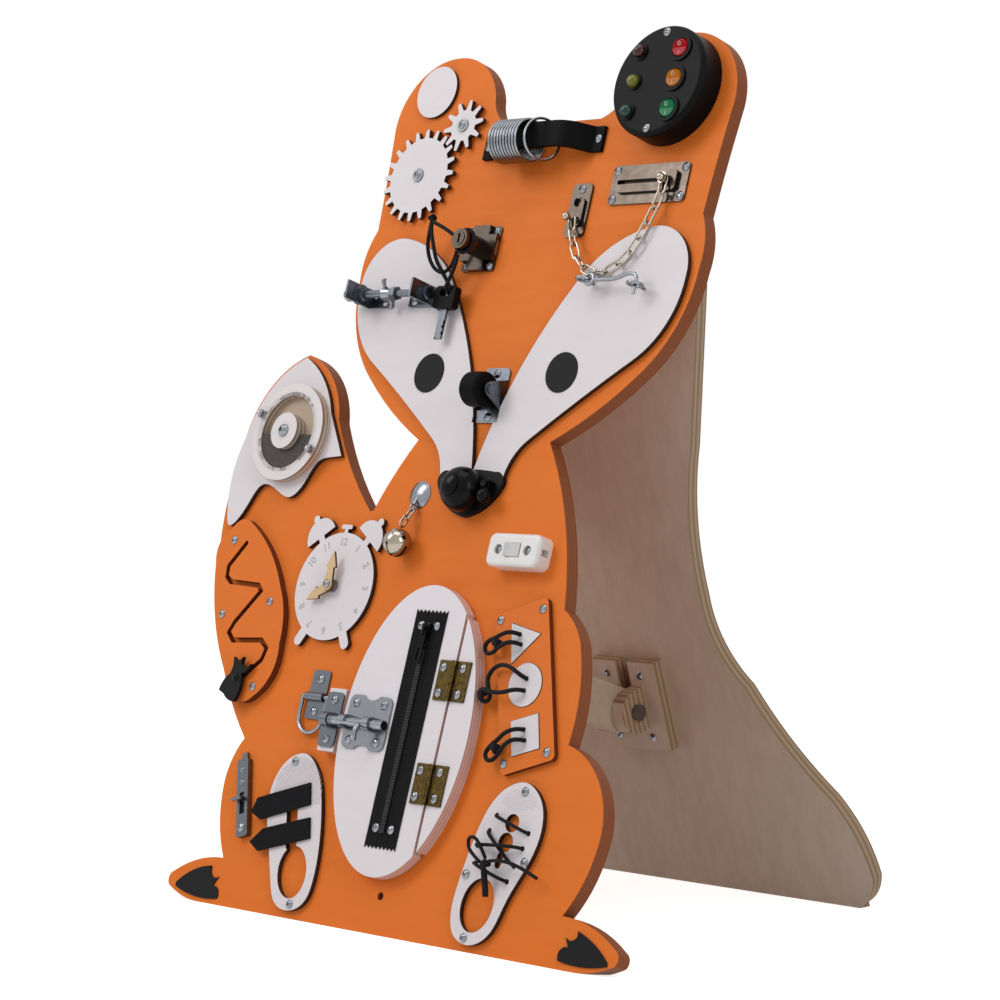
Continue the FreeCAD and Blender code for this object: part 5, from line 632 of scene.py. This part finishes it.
# %% Clock numerals
CLOCK_U, CLOCK_V, CLOCK_TOP = -122.0, 254.5, 4.0
NUMERAL_SIZE, NUMERAL_REACH, LINE_RADIUS, HOUR_STEP = 8.4, 35.2, 0.14, 30
numeral_ink = finish("laser-engraved line", "#8F8B8D", "#7F7B7D", roughness=0.7, grain=(3, 3, 3))
numeral_mesh = bmesh.new()
for hour in range(1, 13):
    text = bpy.data.curves.new("numeral", "FONT")
    text.body = str(hour)
    text.size = NUMERAL_SIZE
    text.align_x = "CENTER"
    text.align_y = "CENTER"
    text.fill_mode = "NONE"
    text.bevel_depth = LINE_RADIUS
    text.bevel_resolution = 0
    text.resolution_u = 3
    holder = link("numeral", text)
    bpy.context.view_layer.update()
    line = final_mesh(holder)
    angle = math.radians(90 - HOUR_STEP * hour)
    middle = (CLOCK_U + NUMERAL_REACH * math.cos(angle), CLOCK_V + NUMERAL_REACH * math.sin(angle))
    turn = Matrix.Rotation(-math.radians(HOUR_STEP * hour), 4, "Z")
    line.transform(Matrix.Translation((*middle, CLOCK_TOP + 0.02)) @ turn)
    numeral_mesh.from_mesh(line)
for vertex in numeral_mesh.verts:
    vertex.co = on_board(*vertex.co)
numerals_data = bpy.data.meshes.new("clock_numerals")
numeral_mesh.to_mesh(numerals_data)
numerals_data.materials.append(numeral_ink)
new_piece("clock_numerals", numerals_data, "root")
print("numeral triangles", len(numerals_data.polygons))

# %% [markdown]
# Ribs, dots, teeth and printed marks are all short round bars. Each row of them is a
# mesh of loose edges, and Geometry Nodes sweeps a small profile along every edge.

# %% Repeat helper


def repeated(name, starts, ends, thickness, material, body="root", sides=6):
    """Round bars from each start to its end, made by Geometry Nodes from loose edges."""
    mesh = bpy.data.meshes.new(name + "_lines")
    points = [on_board(*place) for pair in zip(starts, ends) for place in pair]
    mesh.from_pydata(points, [(2 * count, 2 * count + 1) for count in range(len(starts))], [])
    holder = link(name + "_lines", mesh)
    group = bpy.data.node_groups.new(name + "_bars", "GeometryNodeTree")
    group.interface.new_socket("Geometry", in_out="INPUT", socket_type="NodeSocketGeometry")
    radius = group.interface.new_socket("Bar radius", in_out="INPUT", socket_type="NodeSocketFloat")
    group.interface.new_socket("Geometry", in_out="OUTPUT", socket_type="NodeSocketGeometry")
    source = add(group, "NodeGroupInput")
    line = add(group, "GeometryNodeMeshToCurve", {"Mesh": source.outputs["Geometry"]})
    profile = add(group, "GeometryNodeCurvePrimitiveCircle", {"Resolution": sides,
                                                              "Radius": source.outputs["Bar radius"]})
    bars = add(group, "GeometryNodeCurveToMesh", {"Curve": line.outputs[0],
                                                  "Profile Curve": profile.outputs["Curve"],
                                                  "Fill Caps": True})
    real = add(group, "GeometryNodeRealizeInstances", {"Geometry": bars.outputs[0]})
    coat = add(group, "GeometryNodeSetMaterial", {"Geometry": real.outputs[0], "Material": material})
    add(group, "NodeGroupOutput", {"Geometry": coat.outputs[0]})
    modifier = holder.modifiers.new(name + "_bars", "NODES")
    modifier.node_group = group
    modifier[radius.identifier] = thickness / 2000
    piece = new_piece(name, final_mesh(holder), body)
    print(name, "bars", len(starts), "faces", len(piece.data.polygons))
    return piece


# %% [markdown]
# The toe of the left shoe has fine upright ribs. They are cut to the toe's outline
# by giving every rib its own length.

# %% Ribs on the left toe
SHOE_PLATE_TOP, RIB_PITCH, RIB_THICK, SHORTEST_RIB = 4.0, 1.9, 0.5, 6
TOE_RIBS = [-134.2 + RIB_PITCH * count for count in range(28)]
rib_shade = finish("engraved white lacquer", "#BDB6BA", "#ADA6AA", roughness=0.6, grain=(4, 4, 4))


def toe_reach(u):
    """Top and bottom of the ribbed area on the left shoe at u, in the leaning shoe's own outline."""
    across = (u + 110.0) / 29.0
    rise = math.sqrt(max(0.0, 1 - across * across))
    return 86 + across * 3.0 - 3 * rise, 87 + 33.5 * rise


kept = [(u, *toe_reach(u)) for u in TOE_RIBS]
kept = [(u, low, high) for u, low, high in kept if high - low > SHORTEST_RIB]
repeated("left_toe_ribs", [(u, low, SHOE_PLATE_TOP) for u, low, high in kept],
         [(u, high, SHOE_PLATE_TOP) for u, low, high in kept], RIB_THICK, rib_shade)

# %% [markdown]
# The toe of the right shoe has a screen of dots in staggered rows. A dot is a bar
# that is barely longer than it is thick.

# %% Dots on the right toe
DOT_PITCH, DOT_HALF, DOT_THICK = 1.9, 0.35, 0.55


def in_right_toe(u, v):
    """Inside the toe's outline and clear of its screw and the upper lace holes."""
    across, rise = (u - 121.0) / 20.0, (v - 99.0) / 20.5
    if across * across + rise * rise > 1 or v < 101 + 0.35 * abs(u - 121):
        return False
    return math.dist((u, v), (124.5, 117)) > 5.0 and math.dist((u, v), (118.4, 94)) > 8.4


dots = [(101 + DOT_PITCH * (column + 0.5 * (row % 2)), 98 + DOT_PITCH * 0.87 * row)
        for row in range(16) for column in range(22)]
dots = [place for place in dots if in_right_toe(*place)]
repeated("right_toe_dots", [(u - DOT_HALF, v, SHOE_PLATE_TOP) for u, v in dots],
         [(u + DOT_HALF, v, SHOE_PLATE_TOP) for u, v in dots], DOT_THICK, rib_shade, sides=5)

# %% [markdown]
# A moulded coil zipper is a tight row of teeth. Each tooth is a short bar across
# the row; the row is over a hundred teeth long, so each has only a few faces.

# %% Zipper teeth
ZIP_U, DOOR_TOP = -1.0, 10.0
TEETH, FIRST_TOOTH, TOOTH_PITCH = 102, 73.0, 1.55
TOOTH_HALF, TOOTH_SLANT, TOOTH_THICK, TOOTH_HEIGHT = 2.45, 0.5, 1.1, DOOR_TOP + 2.2
tooth_plastic = finish("black nylon coil", "#0E0E10", "#1A1A1C", roughness=0.3, grain=(2, 2, 2))
tooth_v = [FIRST_TOOTH + TOOTH_PITCH * count for count in range(TEETH)]
teeth = repeated("zipper_teeth", [(ZIP_U - TOOTH_HALF, v, TOOTH_HEIGHT) for v in tooth_v],
                 [(ZIP_U + TOOTH_HALF, v + TOOTH_SLANT, TOOTH_HEIGHT) for v in tooth_v], TOOTH_THICK,
                 tooth_plastic, body="door_leaf")

# %% [markdown]
# The zipper's tape and the shoe's straps are cloth, cut flat and laid on the wood,
# so each is a closed sheet of its own in place of the plain solid.

# %% Cloth helper


def cloth(name, starts, ends, low, high, raised, rows, material, body, slot_name):
    """Closed sheet from one edge to the other; raised gives its top's extra height at (across, along)."""
    built = bmesh.new()
    across = len(starts)
    layers = []
    for top in (False, True):
        layer = []
        for column in range(across):
            for row in range(rows):
                along = row / (rows - 1)
                u = starts[column][0] + (ends[column][0] - starts[column][0]) * along
                v = starts[column][1] + (ends[column][1] - starts[column][1]) * along
                h = high + raised(column / (across - 1), along) if top else low
                layer.append(built.verts.new(on_board(u, v, h)))
        layers.append(layer)
        for column in range(across - 1):
            for row in range(rows - 1):
                here = column * rows + row
                built.faces.new([layer[here], layer[here + 1], layer[here + rows + 1], layer[here + rows]])
    border = [column * rows for column in range(across)]
    border += [(across - 1) * rows + row for row in range(1, rows)]
    border += [column * rows + rows - 1 for column in range(across - 2, -1, -1)]
    border += [row for row in range(rows - 2, 0, -1)]
    for here, after in zip(border, border[1:] + border[:1]):
        built.faces.new([layers[0][here], layers[0][after], layers[1][after], layers[1][here]])
    bmesh.ops.recalc_face_normals(built, faces=built.faces)
    mesh = bpy.data.meshes.new(name)
    built.to_mesh(mesh)
    mesh.materials.append(material)
    print(name, "faces", len(mesh.polygons))
    return new_piece(name, mesh, body)


# %% [markdown]
# The tape's ends are pinked in a zigzag, as the shop cuts them, and a woven rib runs
# beside the coil on each side.

# %% Zipper tape
TAPE_WIDE, TAPE_LOW, TAPE_HIGH = 32.3, 60.9, 240.3
PINKS, PINK_DEEP, PINK_COLUMNS = 8, 2.4, 8
COLUMNS = PINK_COLUMNS * PINKS + 1
RIB_AWAY = 5.0


def pinked(column):
    """How far the zigzag cut bites into the tape at this column."""
    half = PINK_COLUMNS / 2
    return PINK_DEEP * (1 - abs(column % PINK_COLUMNS - half) / half)


def tape_rise(across, along):
    """Woven rib beside the coil and a firmer edge at each side, in mm."""
    away = abs(across - 0.5) * TAPE_WIDE
    rib = 0.35 * math.exp(-((away - RIB_AWAY) / 0.7) ** 2)
    border = 0.18 * math.exp(-((away - TAPE_WIDE / 2) / 0.8) ** 2)
    return rib + border + 0.05 * math.sin(along * 40 + across * 9)


tape_u = [ZIP_U - TAPE_WIDE / 2 + TAPE_WIDE * column / (COLUMNS - 1) for column in range(COLUMNS)]
tape = cloth("zipper_cloth", [(u, TAPE_LOW + pinked(column)) for column, u in enumerate(tape_u)],
             [(u, TAPE_HIGH - pinked(column)) for column, u in enumerate(tape_u)], DOOR_TOP + 0.03,
             DOOR_TOP + 0.75, tape_rise, 120, tape_cloth, "door_leaf", "zip_tape")
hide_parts("zipper_tape")
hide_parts("zipper_tape")
print("tape columns", COLUMNS)

# %% [markdown]
# The straps end in a point, and a stitched hem stands up a little along their
# border. Each strap's flat length runs from the middle of its straight end to its
# tip.

# %% Shoe straps
STRAP_LOW, STRAP_TOP, STRAP_WIDE, STRAP_COLUMNS = 4.3, 5.9, 16.5, 32
STRAP_CUTS = (((-95.6, 102.4), (-90.5, 86.0), (-142, 69.4), (-154, 74), (-150, 85.5)),
              ((-87.6, 76.5), (-82.8, 61), (-137, 45.6), (-148, 51.4), (-136, 63)))


def between(first, second, share):
    """Place on the line from the first to the second."""
    return tuple(a + (b - a) * share for a, b in zip(first, second))


def strap_rise(across, along):
    """Hem along the border, and a low crown where the strap passes over the shoe."""
    border = min(across, 1 - across) * STRAP_WIDE
    hem = 0.3 * math.exp(-((border - 1.1) / 0.6) ** 2)
    return hem + 0.25 * math.sin(math.pi * along)


for count, (top_right, low_right, low_left, tip, top_left) in enumerate(STRAP_CUTS):
    steps = [column / STRAP_COLUMNS for column in range(STRAP_COLUMNS + 1)]
    starts = [between(low_right, top_right, share) for share in steps]
    ends = [between(low_left, tip, 2 * share) if share < 0.5 else between(tip, top_left, 2 * share - 1)
            for share in steps]
    strap = cloth("shoe_strap_%d" % (count + 1), starts, ends, STRAP_LOW, STRAP_TOP, strap_rise, 60, webbing,
                  "strap_pair", "black_webbing")
    long = math.dist(between(low_right, top_right, 0.5), tip)
    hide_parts("shoe_straps")
print("straps", len(STRAP_CUTS))

# %% [markdown]
# The rocker caps carry the two usual marks, a ring for off and a bar for on,
# printed in white. They ride with their rockers.

# %% Rocker marks
print_ink = finish("white pad print", "#E9E4DE", "#DAD4CD", roughness=0.5, grain=(1, 1, 1))
LIGHT_U, LIGHT_V = 118.2, 644.6
ROCKER_SIDE, ROCKER_PIVOT, ROCKER_RISE, ROCKER_LEAN = 17.3, 20.5, 3.2, math.radians(10)
ROCKER_TOP = ROCKER_PIVOT + ROCKER_RISE
RING_MIDDLE, RING_RADIUS, RING_STEPS, BAR_LOW, BAR_HIGH, MARK_THICK = 3.2, 1.3, 12, 4.6, 2.2, 0.4


def on_rocker(u, away, row_v):
    """Place on the cap of a rocker that leans about its pivot; away is up from the row's middle."""
    rise = ROCKER_TOP + abs(away) * math.tan(ROCKER_LEAN) - ROCKER_PIVOT
    return (u, row_v + away * math.cos(ROCKER_LEAN) - rise * math.sin(ROCKER_LEAN),
            ROCKER_PIVOT + away * math.sin(ROCKER_LEAN) + rise * math.cos(ROCKER_LEAN))


for colour_name, row in (("red", 23.5), ("amber", 0.0), ("green", -23.5)):
    u, row_v = LIGHT_U + ROCKER_SIDE, LIGHT_V + row
    angles = [2 * math.pi * count / RING_STEPS for count in range(RING_STEPS)]
    ring_places = [on_rocker(u + RING_RADIUS * math.cos(angle), RING_MIDDLE + RING_RADIUS * math.sin(angle),
                             row_v) for angle in angles]
    repeated(colour_name + "_rocker_marks", ring_places + [on_rocker(u, -BAR_LOW, row_v)],
             ring_places[1:] + ring_places[:1] + [on_rocker(u, -BAR_HIGH, row_v)], MARK_THICK, print_ink,
             body=colour_name + "_switch", sides=5)

# %% [markdown]
# The lamps are domes of tinted resin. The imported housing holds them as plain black,
# so each gets a lens of its own colour.

# %% Lamp lenses
LAMPS = (("red", "#3E0710", 23.5, "red_plastic"), ("yellow", "#6E6E10", 0.0, "amber_plastic"),
         ("green", "#073525", -23.5, "green_plastic"))
LAMP_SIDE, LAMP_RADIUS, LAMP_FOOT, LAMP_MIDDLE = 22.0, 5.0, 0.2, 23.02
for lamp_name, colour, row, slot_name in LAMPS:
    resin = finish(lamp_name + " epoxy lens", colour, roughness=0.12, grain=(5, 5, 5), rough_spread=0.04,
                   Specular_IOR_Level=0.35)
    bubble = bmesh.new()
    bmesh.ops.create_uvsphere(bubble, u_segments=32, v_segments=24, radius=LAMP_RADIUS)
    bmesh.ops.bisect_plane(bubble, geom=bubble.verts[:] + bubble.edges[:] + bubble.faces[:],
                           plane_co=(0, 0, -LAMP_FOOT), plane_no=(0, 0, -1), clear_outer=True)
    for vertex in bubble.verts:
        vertex.co = on_board(LIGHT_U - LAMP_SIDE + vertex.co.x, LIGHT_V + row + vertex.co.y,
                             LAMP_MIDDLE + vertex.co.z)
    lens_mesh = bpy.data.meshes.new(lamp_name + "_lamp_lens")
    bubble.to_mesh(lens_mesh)
    lens_mesh.materials.append(resin)
    for face in lens_mesh.polygons:
        face.use_smooth = True
    new_piece(lamp_name + "_lamp_lens", lens_mesh, "root")
print("lamp lenses", len(LAMPS))

# %% [markdown]
# Two fittings are of two metals or plastics at once: the key has a steel blade in a
# black head, and the tail wheel's clear ring is held by domed cap screws. A thin
# steel skin over the CAD shape shows each of them as it is.

# %% Steel skins


def steel_skin(name, mesh_maker, material, body):
    """Skin of steel that a function draws in board places."""
    built = bmesh.new()
    mesh_maker(built)
    bmesh.ops.recalc_face_normals(built, faces=built.faces)
    for vertex in built.verts:
        vertex.co = on_board(*vertex.co)
    mesh = bpy.data.meshes.new(name)
    built.to_mesh(mesh)
    mesh.materials.append(material)
    print(name, "faces", len(mesh.polygons))
    new_piece(name, mesh, body)


KEY_U, KEY_LOW_V, KEY_H, KEY_HALF_THICK = -62.0, 451.0, 11.0, 1.06


def cut_blade(built):
    """Flat blade with a pointed tip and notches along one edge."""
    notches = [(3.55, 0), (3.55, 3.0), (2.2, 4.6), (3.55, 6.2), (3.55, 8.0), (1.8, 9.8), (3.55, 11.6),
               (2.5, 13.4), (3.55, 15.2), (3.55, 24.4)]
    outline = [(-1.2, -0.05), (-3.55, 2.4), (-3.55, 24.4)]
    places = [(KEY_U + across, KEY_LOW_V + up) for across, up in outline + notches[::-1]]
    for high in (KEY_H - KEY_HALF_THICK, KEY_H + KEY_HALF_THICK):
        built.faces.new([built.verts.new((u, v, high)) for u, v in places])
    built.verts.ensure_lookup_table()
    count = len(places)
    for number in range(count):
        after = (number + 1) % count
        built.faces.new([built.verts[number], built.verts[after], built.verts[count + after],
                         built.verts[count + number]])


steel_skin("key_blade", cut_blade, galvanised, "root")

WHEEL_U, WHEEL_V, LUG_REACH, CAP_SEAT, CAP_STEPS = -209.0, 375.2, 36.6, 14.4, 24


def dome_caps(built):
    """Two domed cap screws with a dimple for the key, opposite each other on the wheel."""
    profile = [(3.5, -0.05), (3.5, 0.7), (3.1, 2.1), (2.2, 3.1), (1.5, 3.5), (1.3, 2.6)]
    for turn in (157, 337):
        middle = (WHEEL_U + LUG_REACH * math.cos(math.radians(turn)),
                  WHEEL_V + LUG_REACH * math.sin(math.radians(turn)))
        rings = [[built.verts.new((middle[0] + radius * math.cos(2 * math.pi * step / CAP_STEPS),
                                   middle[1] + radius * math.sin(2 * math.pi * step / CAP_STEPS),
                                   CAP_SEAT + high))
                  for step in range(CAP_STEPS)] for radius, high in profile]
        for low, high in zip(rings, rings[1:]):
            for step in range(CAP_STEPS):
                after = (step + 1) % CAP_STEPS
                built.faces.new([low[step], low[after], high[after], high[step]])
        built.faces.new(rings[-1])
        built.faces.new(rings[0])


steel_skin("wheel_cap_screws", dome_caps, zinc, "spinner")
